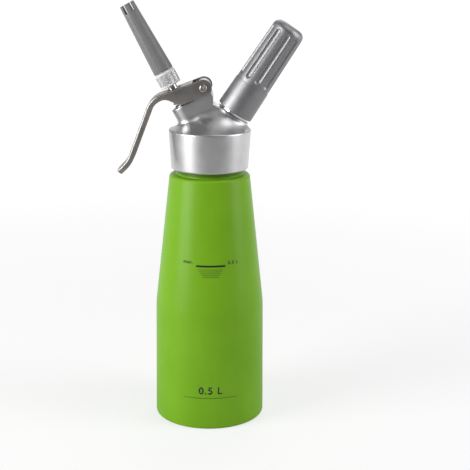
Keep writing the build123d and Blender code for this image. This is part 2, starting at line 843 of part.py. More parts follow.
def charger_solid(inset):
    """The charger's outside, or with an inset its inside, turned about the charger's axis."""
    neck = charger_neck_radius - inset
    body = charger_radius - inset
    low = charger_foot + inset
    neck_end = charger_foot + charger_neck_length
    body_start = neck_end + charger_shoulder_length
    body_end = charger_top - charger_dome_height
    with BuildPart() as solid:
        with BuildSketch(section_of(charger_frame)):
            with BuildLine():
                Polyline((0, charger_top - inset), (0, low), (neck, low), (neck, neck_end))
                Spline((neck, neck_end), (body, body_start), tangents=[(0, 1), (0, 1)])
                Line((body, body_start), (body, body_end))
                Spline((body, body_end), (0, charger_top - inset), tangents=[(0, 1), (-1, 0)])
            make_face()
        revolve(axis=Axis(charger_frame.origin, charger_frame.z_dir))
    return solid.part


with BuildPart() as gas_charger:
    add(charger_solid(0))
    add(charger_solid(charger_wall), mode=Mode.SUBTRACT)
    hole_end = charger_foot + 2 * charger_wall
    rod(charger_frame, pierced_hole_radius, charger_foot - cut_over, hole_end, Mode.SUBTRACT)
finish(gas_charger, "gas_charger")

insert_ridge = thread_ridge(
    charger_frame,
    insert_bore_radius,
    port_thread_depth,
    small_thread_lead,
    port_thread_turns,
    small_thread_foot,
    port_thread_low + small_thread_lead / 2,
    0,
    inward=True,
)
with BuildPart() as holder_insert:
    rod(charger_frame, insert_radius, insert_foot, insert_top)
    chamfer(rims(holder_insert, charger_frame)[0], length=insert_wall / 3)
    rod(charger_frame, insert_bore_radius, insert_foot - cut_over, insert_top + cut_over, Mode.SUBTRACT)
    add(insert_ridge)
finish(holder_insert, "holder_insert")

with BuildPart() as charger_holder:
    with BuildSketch(section_of(charger_frame)) as holder_outline:
        with BuildLine():
            Polyline(
                (0, holder_foot),
                (sleeve_foot_radius, holder_foot),
                (sleeve_top_radius, sleeve_top),
                (grip_foot_radius, sleeve_top),
                (grip_end_radius, holder_end),
                (0, holder_end),
                close=True,
            )
        make_face()
        fillet(corner_at(holder_outline, grip_end_radius, holder_end), holder_corner)
        fillet(corner_at(holder_outline, sleeve_foot_radius, holder_foot), sleeve_rounding)
        chamfer(corner_at(holder_outline, sleeve_top_radius, sleeve_top), length=sleeve_rounding / 2)
    revolve(axis=Axis(charger_frame.origin, charger_frame.z_dir))
    # The flutes of the grip: round cutters that follow its taper.
    grip_slope = (grip_foot_radius - grip_end_radius) / (holder_end - sleeve_top)
    end_run = math.sqrt(2 * groove_cutter_radius * groove_depth)
    low_u = groove_start + end_run
    high_u = groove_end - end_run
    cutter_rise = groove_cutter_radius - groove_depth
    low_centre = Vector(grip_foot_radius - grip_slope * (low_u - sleeve_top) + cutter_rise, 0, low_u)
    high_centre = Vector(grip_foot_radius - grip_slope * (high_u - sleeve_top) + cutter_rise, 0, high_u)
    for k in range(groove_count):
        around = charger_frame.location * Location((0, 0, 0), (0, 0, groove_turn + 360 / groove_count * k))
        along = Plane(around * Plane(origin=low_centre, z_dir=high_centre - low_centre).location)
        rod(along, groove_cutter_radius, 0, (high_centre - low_centre).length, Mode.SUBTRACT)
        for centre in (low_centre, high_centre):
            with Locations(around * Location(centre)):
                Sphere(groove_cutter_radius, mode=Mode.SUBTRACT)
    rod(charger_frame, holder_bore_radius, holder_foot - cut_over, holder_bore_end, Mode.SUBTRACT)
    rod(charger_frame, insert_radius + seat_gap, holder_foot - cut_over, insert_top + seat_gap, Mode.SUBTRACT)
finish(charger_holder, "charger_holder")

with BuildPart() as holder_pad:
    rod(
        charger_frame,
        charger_radius,
        holder_bore_end - seat_gap - holder_pad_thickness,
        holder_bore_end - seat_gap,
    )
finish(holder_pad, "holder_pad")
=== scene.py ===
# %% [markdown]
# # A whipped cream dispenser
#
# A whipped cream dispenser is a small pressure bottle. Cream goes in through the neck, a head with two
# leaning ports screws on, and a gas charger in the fluted holder fills it with gas. Pressing the lever
# opens a valve, and the cream leaves through the tip.
#
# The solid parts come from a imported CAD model. This script dresses them: round edges that catch light,
# lacquer, turned and brushed metal, printed marks and rubber. Everything is in metres, and every piece
# is built where it belongs, so that its object stays at the origin.

# %% Load the frame
import json
import math

import bmesh
import bpy
import numpy as np
import openvdb
from mathutils import Matrix, Vector


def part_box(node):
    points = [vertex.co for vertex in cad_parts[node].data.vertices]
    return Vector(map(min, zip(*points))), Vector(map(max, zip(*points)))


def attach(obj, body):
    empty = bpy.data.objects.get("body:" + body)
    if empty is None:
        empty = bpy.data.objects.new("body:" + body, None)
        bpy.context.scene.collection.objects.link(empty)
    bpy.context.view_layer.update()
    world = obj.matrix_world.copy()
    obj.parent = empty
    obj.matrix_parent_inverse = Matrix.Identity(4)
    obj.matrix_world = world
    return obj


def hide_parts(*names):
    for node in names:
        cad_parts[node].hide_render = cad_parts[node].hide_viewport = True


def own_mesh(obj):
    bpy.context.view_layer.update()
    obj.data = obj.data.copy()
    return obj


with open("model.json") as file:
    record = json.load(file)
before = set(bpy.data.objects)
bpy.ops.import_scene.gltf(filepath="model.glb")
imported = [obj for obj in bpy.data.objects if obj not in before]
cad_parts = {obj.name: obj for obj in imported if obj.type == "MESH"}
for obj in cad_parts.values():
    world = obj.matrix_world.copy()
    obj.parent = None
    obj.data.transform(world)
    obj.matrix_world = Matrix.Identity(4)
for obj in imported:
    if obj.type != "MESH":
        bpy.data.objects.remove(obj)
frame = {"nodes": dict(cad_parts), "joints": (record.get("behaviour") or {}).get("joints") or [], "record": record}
nodes, record = frame["nodes"], frame["record"]
joints = {joint["name"]: joint for joint in frame["joints"]}
body_of = {node: body for body, members in record["behaviour"]["bodies"].items() for node in members}
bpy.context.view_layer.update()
MM = 0.001

# %% [markdown]
# ## Axes that the pieces share
#
# The head has two leaning axes: the nozzle's and the charger's. The model's joints already know them,
# so they are read from there instead of being written down twice. A matrix whose local Z runs along
# an axis lets a piece be drawn upright and then set down in its place.

# %% Axes from the joints
def axis_frame(joint_name):
    """The matrix whose Z is the joint's axis and whose origin is where that axis meets the bottle's."""
    joint = joints[joint_name]
    axis = Vector(joint["axis"]).normalized()
    point = Vector(joint["pos_m"])
    foot = point - axis * (point.x / axis.x)
    side = Vector((0, 1, 0)).cross(axis).normalized()
    turn = Matrix((side, Vector((0, 1, 0)), axis)).transposed().to_4x4()
    return Matrix.Translation(foot) @ turn


WEB_LEAN = 20.5
upright = Matrix.Identity(4)
nozzle = axis_frame("tip_turn")
charger = axis_frame("holder_turn")
outlet = Matrix.Translation((9.5 * MM, 0, 0))
pivot = Vector(joints["lever_press"]["pos_m"])
cross = Matrix.Translation(pivot) @ Matrix.Rotation(math.radians(90), 4, "X")
web = Matrix.Translation(pivot) @ Matrix.Rotation(math.radians(-WEB_LEAN), 4, "Y")
print("nozzle axis", nozzle.col[2].xyz, "charger axis", charger.col[2].xyz, "pivot", pivot)

# %% [markdown]
# ## Turned pieces
#
# Most of a dispenser is turned on a lathe: bottle, cap, stem, tip, holder. Spinning one outline about
# an axis gives such a piece its exact shape with few numbers. The outline lists radius and height in
# millimetres, and small arcs at the corners are what the light catches, so a helper adds them.

# %% Helpers for objects and meshes
def in_scene(name, data):
    """A new object in the scene, at the origin."""
    item = bpy.data.objects.new(name, data)
    bpy.context.scene.collection.objects.link(item)
    return item


def plain_mesh(item):
    """The mesh that an object's modifiers or text give. The object is then taken away."""
    bpy.context.view_layer.update()
    mesh = bpy.data.meshes.new_from_object(item.evaluated_get(bpy.context.evaluated_depsgraph_get()))
    bpy.data.objects.remove(item)
    return mesh


def opened(mesh):
    """A mesh, open for editing with bmesh."""
    shell = bmesh.new()
    shell.from_mesh(mesh)
    return shell


def stored(shell, mesh):
    """Write an edited mesh back."""
    shell.to_mesh(mesh)
    shell.free()
    return mesh


def closed_mesh(name, points, faces, place):
    """A mesh with its double points merged and its faces outwards, set down by the matrix place."""
    mesh = bpy.data.meshes.new(name)
    mesh.from_pydata(points, [], faces)
    shell = opened(mesh)
    bmesh.ops.remove_doubles(shell, verts=shell.verts, dist=1e-7)
    bmesh.ops.dissolve_degenerate(shell, edges=shell.edges, dist=1e-8)
    bmesh.ops.recalc_face_normals(shell, faces=shell.faces)
    stored(shell, mesh).transform(place)
    return mesh


def smooth(mesh, degrees=40):
    """Shade a mesh smooth, but keep its edges sharp where the faces turn by more than this."""
    mesh.polygons.foreach_set("use_smooth", [True] * len(mesh.polygons))
    mesh.set_sharp_from_angle(angle=math.radians(degrees))


def new_piece(name, mesh, node, *materials):
    """Put a finished mesh in the scene with the given materials, on the body of a CAD node."""
    piece = in_scene(name, mesh)
    for material in materials:
        mesh.materials.append(material)
    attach(piece, body_of[node])
    return piece


print("mesh helpers ready")

# %% Helpers for turned pieces
PLAIN_ROUNDING = 0.4
SIDE_SHARE = 0.45
STRAIGHT = math.radians(178)


def rounded(points, steps=5):
    """An open outline of (radius, height[, rounding]) points with its inner corners rounded, in mm."""
    corners = [Vector((p[0], p[1])) for p in points]
    radii = [p[2] if len(p) > 2 else PLAIN_ROUNDING for p in points]
    out = [corners[0]]
    for before, here, after, radius in zip(corners, corners[1:], corners[2:], radii[1:]):
        back, ahead = (before - here), (after - here)
        reach = min(back.length, ahead.length) * SIDE_SHARE
        angle = back.angle(ahead, math.pi)
        if radius <= 0 or angle > STRAIGHT:
            out.append(here)
            continue
        cut = min(reach, radius / max(math.tan(angle / 2), 1e-3))
        start, end = here + back.normalized() * cut, here + ahead.normalized() * cut
        for i in range(steps + 1):
            t = i / steps
            out.append(start * (1 - t) ** 2 + here * 2 * t * (1 - t) + end * t**2)
    out.append(corners[-1])
    return out


def spun(name, outline, place, segments=160):
    """A closed mesh made by turning an outline in mm about Z, then setting it down by the matrix place."""
    radius, height = (np.array([point[i] for point in outline]) for i in (0, 1))
    turn = np.linspace(0, 2 * math.pi, segments, endpoint=False)
    rings, angles = np.meshgrid(np.arange(len(outline)), turn, indexing="ij")
    r = radius[rings]
    grid = np.stack([r * np.cos(angles), r * np.sin(angles), height[rings]], axis=-1).reshape(-1, 3)
    faces = []
    for i in range(len(outline) - 1):
        for k in range(segments):
            a, b = i * segments + k, i * segments + (k + 1) % segments
            faces.append((a, b, b + segments, a + segments))
    mesh = closed_mesh(name, (grid * MM).tolist(), faces, place)
    smooth(mesh)
    return mesh


print("turning helpers ready")

# %% [markdown]
# ## Building node trees
#
# Materials and Geometry Nodes are both trees of nodes, so a few helpers serve them both. A helper makes
# one node, sets its properties, and feeds each input with a plain value or with another node's output.

# %% Helpers for nodes
def feed(tree, node, inputs):
    """Set a node's inputs by name or number, each to a value or to another node's output."""
    for key, value in inputs.items():
        if isinstance(value, bpy.types.NodeSocket):
            tree.links.new(value, node.inputs[key])
        else:
            node.inputs[key].default_value = value
    return node


def add_node(tree, kind, inputs=None, **settings):
    """A new node with its properties set and its inputs fed."""
    node = tree.nodes.new(kind)
    for key, value in settings.items():
        setattr(node, key, value)
    return feed(tree, node, inputs or {})


def math_node(tree, operation, *values, clamp=False):
    """The result of one Math node."""
    inputs = dict(enumerate(values))
    return add_node(tree, "ShaderNodeMath", inputs, operation=operation, use_clamp=clamp).outputs[0]


def combined(tree, **parts):
    """A vector from its X, Y and Z."""
    return add_node(tree, "ShaderNodeCombineXYZ", parts).outputs[0]


def separated(tree, vector):
    """The X, Y and Z of a vector."""
    return tuple(add_node(tree, "ShaderNodeSeparateXYZ", {0: vector}).outputs)


def vector_length(tree, vector):
    return add_node(tree, "ShaderNodeVectorMath", {0: vector}, operation="LENGTH").outputs["Value"]


def ranged(tree, value, low, high, to_low, to_high, easing="LINEAR"):
    """Map the range from low to high to another range, and hold its ends."""
    ends = {"Value": value, "From Min": low, "From Max": high, "To Min": to_low, "To Max": to_high}
    return add_node(tree, "ShaderNodeMapRange", ends, interpolation_type=easing).outputs[0]


def spread(tree, value, low, high):
    """Map a noise value around 0.5 to the range from low to high."""
    return ranged(tree, value, 0.25, 0.75, low, high)


def noise(tree, vector, scale, detail, roughness=0.5):
    """The value of a noise texture at a place."""
    values = {"Vector": vector, "Scale": scale, "Detail": detail, "Roughness": roughness}
    return add_node(tree, "ShaderNodeTexNoise", values).outputs[0]


def object_place(tree):
    return add_node(tree, "ShaderNodeTexCoord").outputs["Object"]


def node_group(kind, name, inputs, outputs):
    """A group with named sockets. An input is given by its first value, or by its kind where it has none."""
    group = bpy.data.node_groups.new(name, kind)
    kinds = {int: "NodeSocketInt", float: "NodeSocketFloat", tuple: "NodeSocketVector"}
    for label, value in inputs.items():
        socket_kind = kinds.get(type(value), value)
        item = group.interface.new_socket(name=label, in_out="INPUT", socket_type=socket_kind)
        if socket_kind != value:
            item.default_value = value
    for label, socket_kind in outputs.items():
        group.interface.new_socket(name=label, in_out="OUTPUT", socket_type=socket_kind)
    return group, group.nodes.new("NodeGroupInput").outputs, group.nodes.new("NodeGroupOutput")


print("node helpers ready")

# %% [markdown]
# ## Marks that tools and moulds leave
#
# A turned part carries fine rings about its axis. They scatter light into a soft band, and wear makes them
# deeper in some places than in others. Moulded plastic and rubber copy the grain of their mould, and pressed
# sheet keeps the fine streaks of the rolling mill. One node group makes rings, from the distance to the
# axis and the height along it. The other makes grain, and its Stretch input pulls the grain out into
# streaks. Both also give a slow cloud, and every finish uses a group with its own values.

# %% Node groups for turning marks and grain
FLOAT = "NodeSocketFloat"
turning, given, result = node_group(
    "ShaderNodeTree",
    "turning_marks",
    {"Position": "NodeSocketVector", "Rings per mm": 6.0},
    {"Rings": FLOAT, "Wear": FLOAT},
)
across_x, across_y, along = separated(turning, given["Position"])
per_metre = math_node(turning, "MULTIPLY", given["Rings per mm"], 1000.0)
from_axis = vector_length(turning, combined(turning, X=across_x, Y=across_y))
ring_place = combined(
    turning,
    X=math_node(turning, "MULTIPLY", from_axis, per_metre),
    Z=math_node(turning, "MULTIPLY", along, per_metre),
)
wear = noise(turning, given["Position"], 140.0, 3.0, 0.55)
feed(turning, result, {"Rings": noise(turning, ring_place, 1.0, 3.0, 0.7), "Wear": wear})

grain, given, result = node_group(
    "ShaderNodeTree",
    "surface_grain",
    {"Position": "NodeSocketVector", "Grain per mm": 4.0, "Stretch": (1.0, 1.0, 1.0)},
    {"Grain": FLOAT, "Cloud": FLOAT},
)
pulled = {0: given["Position"], 1: given["Stretch"]}
pulled = add_node(grain, "ShaderNodeVectorMath", pulled, operation="MULTIPLY").outputs[0]
per_metre = math_node(grain, "MULTIPLY", given["Grain per mm"], 1000.0)
cloud = noise(grain, given["Position"], 160.0, 3.0, 0.6)
feed(grain, result, {"Grain": noise(grain, pulled, per_metre, 3.0, 0.6), "Cloud": cloud})
print("turning_marks:", len(turning.nodes), "nodes; surface_grain:", len(grain.nodes), "nodes")

# %% [markdown]
# A finish is a function that builds a material around a group. The shader itself stays in the material,
# and so do the numbers that are the same all over. Colour, gloss and relief each follow the marks a little.

# %% A material around a group
def principled(name):
    """A new material, its tree and its shader node."""
    material = bpy.data.materials.new(name)
    material.use_nodes = True
    return material, material.node_tree, material.node_tree.nodes["Principled BSDF"]


def blend_colour(tree, factor, low, high):
    """A colour that goes from low to high as factor goes from 0 to 1. Each end is a colour or an output."""
    low, high = ((*end, 1) if isinstance(end, tuple) else end for end in (low, high))
    return add_node(tree, "ShaderNodeMix", {0: factor, 6: low, 7: high}, data_type="RGBA").outputs[2]


def relief(tree, height, strength, depth):
    """A normal from a height, with its depth in mm."""
    values = {"Strength": strength, "Distance": depth * MM, "Height": height}
    return add_node(tree, "ShaderNodeBump", values).outputs[0]


def placed_position(tree, place):
    """Object coordinates seen from the axis frame: the inverse of place, as a Mapping node."""
    inverse = place.inverted()
    values = {"Location": inverse.to_translation(), "Rotation": inverse.to_euler()}
    values["Vector"] = object_place(tree)
    return add_node(tree, "ShaderNodeMapping", values, vector_type="POINT").outputs[0]


def marked(name, group, values, place, dark, light, roughness, swing, metallic, strength, depth):
    """A material whose colour, gloss and relief follow a group's fine marks and its slow cloud."""
    material, tree, shader = principled(name)
    marks = add_node(tree, "ShaderNodeGroup", node_tree=group)
    fine, slow = feed(tree, marks, {"Position": placed_position(tree, place), **values}).outputs
    both = math_node(tree, "MULTIPLY", math_node(tree, "ADD", fine, slow), 0.5)
    tone = slow if group is turning else spread(tree, both, 0.0, 1.0)
    look = {
        "Base Color": blend_colour(tree, tone, dark, light),
        "Roughness": spread(tree, both, roughness * (1 - swing), roughness * (1 + swing)),
        "Metallic": metallic,
        "Normal": relief(tree, fine, strength, depth),
    }
    feed(tree, shader, look)
    return material


def turned_metal(name, dark, light, roughness, place=upright, rings=6.0):
    """Metal that was turned about the axis of place."""
    surface = {"swing": 0.2, "metallic": 1.0, "strength": 0.12, "depth": 0.012}
    return marked(name, turning, {"Rings per mm": rings}, place, dark, light, roughness, **surface)


def grained(
    name, dark, light, roughness, metallic=0.0, per_mm=4.0, stretch=(1, 1, 1), place=upright, depth=0.01
):
    """Plastic or rubber from a mould, or rolled or blasted metal."""
    values = {"Grain per mm": per_mm, "Stretch": stretch}
    surface = {"swing": 0.15, "metallic": metallic, "strength": 0.3, "depth": depth}
    return marked(name, grain, values, place, dark, light, roughness, **surface)


print("finish helpers ready")

# %% The finishes
cap_metal = turned_metal("cap_turned_aluminium", (0.57, 0.57, 0.58), (0.70, 0.70, 0.71), 0.36, rings=3.0)
port_metal = turned_metal("port_turned_aluminium", (0.54, 0.54, 0.55), (0.67, 0.67, 0.68), 0.34, charger, 3.0)
bright_metal = turned_metal("ring_bright_aluminium", (0.78, 0.78, 0.79), (0.88, 0.88, 0.88), 0.2, charger)
stem_metal = turned_metal("stem_turned_steel", (0.55, 0.55, 0.55), (0.70, 0.70, 0.69), 0.22, nozzle)
adapter_metal = turned_metal(
    "adapter_turned_aluminium", (0.58, 0.58, 0.59), (0.70, 0.70, 0.71), 0.42, nozzle, 3.0
)
screw_metal = turned_metal("screw_turned_steel", (0.50, 0.47, 0.44), (0.62, 0.59, 0.56), 0.24, cross, 8.0)
charger_metal = turned_metal(
    "charger_drawn_steel", (0.62, 0.62, 0.63), (0.72, 0.72, 0.73), 0.22, charger, 5.0
)
outlet_brass = turned_metal("check_valve_brass", (0.62, 0.44, 0.18), (0.74, 0.55, 0.26), 0.28, outlet, 8.0)
tip_plastic = grained(
    "tip_moulded_plastic", (0.185, 0.185, 0.19), (0.23, 0.23, 0.235), 0.42, per_mm=3.0, place=nozzle
)
black_rubber = grained("seal_black_rubber", (0.012, 0.012, 0.012), (0.022, 0.022, 0.022), 0.6, per_mm=6.0)
pale_rubber = grained("gasket_pale_silicone", (0.60, 0.60, 0.58), (0.70, 0.70, 0.68), 0.5)
nylon = grained("washer_white_nylon", (0.66, 0.66, 0.63), (0.74, 0.74, 0.71), 0.45, per_mm=3.0)
lever_steel = grained(
    "lever_pressed_steel", (0.30, 0.284, 0.272), (0.41, 0.392, 0.376), 0.38,
    metallic=1.0, per_mm=3.0, stretch=(0.12, 1.0, 1.0), place=web, depth=0.004,
)
holder_metal = grained(
    "holder_satin_aluminium", (0.30, 0.30, 0.31), (0.36, 0.36, 0.37), 0.48,
    metallic=1.0, per_mm=1.5, place=charger, depth=0.0015,
)
print("finishes:", len(bpy.data.materials))

# %% [markdown]
# ## The lacquered bottle
#
# The bottle is drawn aluminium, sprayed green outside and left bare at the neck and inside. A satin
# lacquer is a coloured base under a thin clear coat. The spray leaves a faint orange peel: a very shallow
# bump a few millimetres across. Just above the shoulder, in the gap under the head's ring, the green is
# made darker: a painted shade where the ring shades the gap. One material holds all of this: a mask on
# the mesh says what was sprayed.

# %% Green lacquer over bare aluminium
BARE = (0.70, 0.70, 0.71)
# Painted shade: the dark green that the lacquer turns towards between the two heights below, in the gap under the
# head's ring.
SHADE_GREEN = (0.025, 0.065, 0.003)
SHADE_FROM, SHADE_TO, SHADE_SHARE = 0.1823, 0.1836, 0.6
COAT = 0.17

green_lacquer, tree, shader = principled("green_lacquer")
place = object_place(tree)
peel = noise(tree, place, scale=420.0, detail=2.0)
cloud = noise(tree, place, scale=30.0, detail=3.0)
green = blend_colour(tree, spread(tree, cloud, 0.0, 1.0), (0.175, 0.400, 0.011), (0.200, 0.445, 0.016))
# Painted shade in the gap under the head's ring: the green darkens from the shoulder upwards.
painted_shade = ranged(tree, separated(tree, place)[2], SHADE_FROM, SHADE_TO, 0.0, SHADE_SHARE)
mask = add_node(tree, "ShaderNodeAttribute", attribute_name="sprayed").outputs["Fac"]
look = {
    "Base Color": blend_colour(tree, mask, BARE, blend_colour(tree, painted_shade, green, SHADE_GREEN)),
    "Metallic": math_node(tree, "SUBTRACT", 1.0, mask),
    "Roughness": spread(tree, peel, 0.36, 0.42),
    "Coat Weight": math_node(tree, "MULTIPLY", mask, COAT),
    "Coat Roughness": 0.26,
    "Specular IOR Level": 0.12,
    "Normal": relief(tree, peel, 0.12, 0.02),
}
feed(tree, shader, look)
print("lacquer:", len(tree.nodes), "nodes")

# %% [markdown]
# The outline follows the CAD bottle: a foot, a slightly tapered side, a waist, a long cone, a rounded
# shoulder and the neck, then back down inside. Only the outer wall below the spray's edge is marked as
# sprayed, with an attribute on the points, so that the paint's edge follows the metal.

# %% Bottle
FOOT_RADIUS = 40.2
WAIST_RADIUS, WAIST = 39.4, 86.0
SHOULDER_RADIUS, SHOULDER = 28.9, 182.0
NECK_RADIUS, NECK_WALL = 23.7, 1.8
SPRAY_EDGE = 186.5
WALL = 1.6
DOME = 7.7
WALL_SKIN, FOOT_SKIN, NECK_SKIN = 0.9, 1.8, 0.2
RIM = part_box("bottle_shell")[1].z / MM


def wall_radius(z):
    """The bottle's outer radius at height z, in mm."""
    return np.interp(z, (0, WAIST, SHOULDER), (FOOT_RADIUS, WAIST_RADIUS, SHOULDER_RADIUS))


outer = rounded(
    [
        (0, 5.5, 0),
        (12.0, 4.85, 6),
        (24.0, 2.95, 6),
        (35.2, 0.0, 0.5),
        (FOOT_RADIUS, 0.0, 2.6),
        (WAIST_RADIUS, WAIST, 60.0),
        (SHOULDER_RADIUS, SHOULDER, 5.0),
        (NECK_RADIUS, SHOULDER, 0.8),
        (NECK_RADIUS, SPRAY_EDGE - 0.05, 0),
        (NECK_RADIUS, SPRAY_EDGE + 0.05, 0),
        (NECK_RADIUS, RIM, 0.4),
        (NECK_RADIUS - NECK_WALL, RIM, 0.3),
    ],
    steps=10,
)
inner = rounded(
    [
        (NECK_RADIUS - NECK_WALL, RIM, 0.3),
        (NECK_RADIUS - NECK_WALL, SHOULDER - WALL, 1.0),
        (SHOULDER_RADIUS - WALL, SHOULDER - WALL - 5.0, 4.0),
        (WAIST_RADIUS - WALL, WAIST, 50.0),
        (FOOT_RADIUS - WALL, 4.8, 1.5),
        (FOOT_RADIUS - 2 * WALL, 2.2, 1.0),
        (33.6, DOME, 2.0),
        (0, DOME, 0),
    ],
    steps=6,
)
bottle_mesh = spun("bottle", outer + inner[1:], upright, segments=192)
spots = np.array([vertex.co for vertex in bottle_mesh.vertices]) / MM
radius, z = np.hypot(spots[:, 0], spots[:, 1]), spots[:, 2]
on_side, on_foot = radius > wall_radius(z) - WALL_SKIN, z < FOOT_SKIN
on_shoulder = (z > SHOULDER - WALL_SKIN) & (radius > NECK_RADIUS - NECK_SKIN)
outside = (on_side | on_foot | on_shoulder) & (z < SPRAY_EDGE)
bottle_mesh.attributes.new("sprayed", "FLOAT", "POINT").data.foreach_set("value", outside.astype(np.float32))
bottle = new_piece("bottle", bottle_mesh, "bottle_shell", green_lacquer)
print("bottle:", len(bottle_mesh.vertices), "points,", outside.sum(), "of them sprayed")

# %% [markdown]
# ## The printed fill mark
#
# A dark line across the front says how far to fill the bottle, and shorter lines under it show the slope
# down to smaller fills. They are screen-printed, so they are a skin of ink that follows the wall. The
# lines repeat by a rule, so Geometry Nodes lays them out flat, and a short function then wraps every
# point onto the wall. The words and figures are text, made a mesh and wrapped the same way.

# %% Lay out the lines with Geometry Nodes
GEOMETRY = {"Geometry": "NodeSocketGeometry"}
METAL = {"Material": "NodeSocketMaterial"}


def finish_tree(tree, geometry, material, result):
    """End a tree: its instances are made real and given their material."""
    real = add_node(tree, "GeometryNodeRealizeInstances", {0: geometry}).outputs[0]
    done = add_node(tree, "GeometryNodeSetMaterial", {"Geometry": real, "Material": material}).outputs[0]
    feed(tree, result, {0: done})
    print(tree.name, "has", len(tree.nodes), "nodes")


def grown(name, tree, material, base=None, **values):
    """Run a Geometry Nodes tree on a base mesh or on nothing, and return the plain mesh that it makes."""
    host = in_scene(name + "_host", base or bpy.data.meshes.new(name + "_host"))
    modifier = host.modifiers.new("grow", "NODES")
    modifier.node_group = tree
    values["Material"] = material
    for item in tree.interface.items_tree:
        if item.in_out == "INPUT" and item.name in values:
            modifier[item.identifier] = values[item.name]
    mesh = plain_mesh(host)
    mesh.name = name
    return mesh


lines, given, result = node_group(
    "GeometryNodeTree",
    "fill_lines",
    {"Count": 5, "Pitch": 1.5, "Width": 15.0, "Shrink": 1.6, "Stroke": 0.35, **METAL},
    GEOMETRY,
)
drop = combined(lines, Y=math_node(lines, "MULTIPLY", given["Pitch"], -1.0))
row = add_node(lines, "GeometryNodeMeshLine", {"Count": given["Count"], "Offset": drop})
number = add_node(lines, "GeometryNodeInputIndex").outputs[0]
shorter = math_node(lines, "MULTIPLY", number, given["Shrink"])
length = math_node(lines, "SUBTRACT", given["Width"], shorter)
sides = {"Size X": 1.0, "Size Y": 1.0, "Vertices X": 33, "Vertices Y": 2}
strip = add_node(lines, "GeometryNodeMeshGrid", sides)
laid = {
    "Points": row.outputs[0],
    "Instance": strip.outputs[0],
    "Scale": combined(lines, X=length, Y=given["Stroke"], Z=1.0),
}
laid = add_node(lines, "GeometryNodeInstanceOnPoints", laid)
finish_tree(lines, laid.outputs[0], given["Material"], result)

# %% Ink
ink, tree, shader = principled("print_ink")
specks = noise(tree, object_place(tree), scale=2500.0, detail=2.0)
look = {
    "Base Color": blend_colour(tree, specks, (0.004, 0.012, 0.006), (0.012, 0.03, 0.012)),
    "Roughness": spread(tree, specks, 0.35, 0.5),
}
feed(tree, shader, look)
print("ink:", len(tree.nodes), "nodes")

# %% Wrap the print onto the wall
INK_THICKNESS = 0.05
FILL_X, FILL_Z = 1.5, 122.0
HATCH_DROP, SIDE_WORD = 2.5, 16.5
RULE_Z, SIZE_Z = 24.1, 29.6


def wrapped(mesh, centre_x, centre_z):
    """Lay a flat mesh (x, y in mm) on the front of the wall, with its middle at the given place."""
    skin = opened(mesh)
    lifted = bmesh.ops.extrude_face_region(skin, geom=list(skin.faces))
    top = {item for item in lifted["geom"] if isinstance(item, bmesh.types.BMVert)}
    for vertex in skin.verts:
        z = centre_z + vertex.co.y
        radius = wall_radius(z) + (INK_THICKNESS if vertex in top else -INK_THICKNESS)
        angle = (centre_x + vertex.co.x) / wall_radius(z)
        vertex.co = Vector((radius * math.sin(angle), -radius * math.cos(angle), z)) * MM
    bmesh.ops.recalc_face_normals(skin, faces=skin.faces)
    return stored(skin, mesh)


def lettering(name, words, height):
    """A flat mesh of a short text, height mm tall, centred on its own middle."""
    curve = bpy.data.curves.new(name, "FONT")
    curve.body = words
    curve.size = height * 1.4
    curve.space_character = 1.15
    curve.align_x, curve.align_y = "CENTER", "CENTER"
    curve.offset = 0.03 * height
    mesh = plain_mesh(in_scene(name, curve))
    mesh.name = name
    return mesh


hatch = {"Count": 5, "Pitch": 1.32, "Width": 18.0, "Shrink": 1.6, "Stroke": 0.28}
for name, z, values in (
    ("fill_hatch", FILL_Z - HATCH_DROP, hatch),
    ("fill_line", FILL_Z, {"Count": 1, "Width": 21.0, "Stroke": 1.4}),
    ("base_rule", RULE_Z, {"Count": 1, "Width": 40.0, "Stroke": 0.35}),
):
    new_piece(name, wrapped(grown(name, lines, ink, **values), FILL_X, z), "bottle_shell")
for name, words, height, x, z in (
    ("word_max", "max.", 2.5, FILL_X - SIDE_WORD, FILL_Z + 2.6),
    ("figure_fill", "0.5 L", 2.5, FILL_X + SIDE_WORD, FILL_Z + 2.0),
    ("figure_size", "0.5 L", 5.4, FILL_X, SIZE_Z),
):
    new_piece(name, wrapped(lettering(name, words, height), x, z), "bottle_shell", ink)
print("print: fill line at", FILL_Z, "mm")

# %% [markdown]
# ## The head
#
# The head is one casting: a turned cap, a leaning boss for the valve, a lug for the lever and a port for
# the charger, all joined by soft fillets. Fillets between such shapes are hard to bevel, but easy to
# calculate: each shape is a distance function, and a smooth minimum of two distances joins them with a
# fillet. The field is sampled on a grid, a mesh is drawn through its zero level, and every point is then
# moved onto the exact surface.

# %% Distance functions
def seen_from(points, place):
    """Radius about the frame's axis and height along it, in mm, for points in mm."""
    turn = np.array(place.to_3x3())
    local = (points - np.array(place.to_translation()) / MM) @ turn
    return np.hypot(local[:, 0], local[:, 1]), local[:, 2]


def smooth_max(a, b, width):
    """The larger of two distances, rounded where they are within width of each other."""
    return np.maximum(a, b) + np.maximum(width - np.abs(a - b), 0) ** 2 / (4 * width)


def smooth_min(a, b, width):
    return -smooth_max(-a, -b, width)


def polygon_distance(x, y, corners):
    """The distance to a closed outline in a plane: negative inside it."""
    nearest = np.full(x.shape, np.inf)
    inside = np.zeros(x.shape, bool)
    for (ax, ay), (bx, by) in zip(corners, corners[1:] + corners[:1]):
        ex, ey = bx - ax, by - ay
        px, py = x - ax, y - ay
        along = np.clip((px * ex + py * ey) / (ex * ex + ey * ey), 0, 1)
        nearest = np.minimum(nearest, (px - ex * along) ** 2 + (py - ey * along) ** 2)
        if ay != by:
            inside ^= ((ay > y) != (by > y)) & (x < (y - ay) / (by - ay) * ex + ax)
    return np.where(inside, -1, 1) * np.sqrt(nearest)


unit_square = [(0, 0), (1, 0), (1, 1), (0, 1)]
print("a unit square from (2, 0.5):", polygon_distance(np.array([2.0]), np.array([0.5]), unit_square))

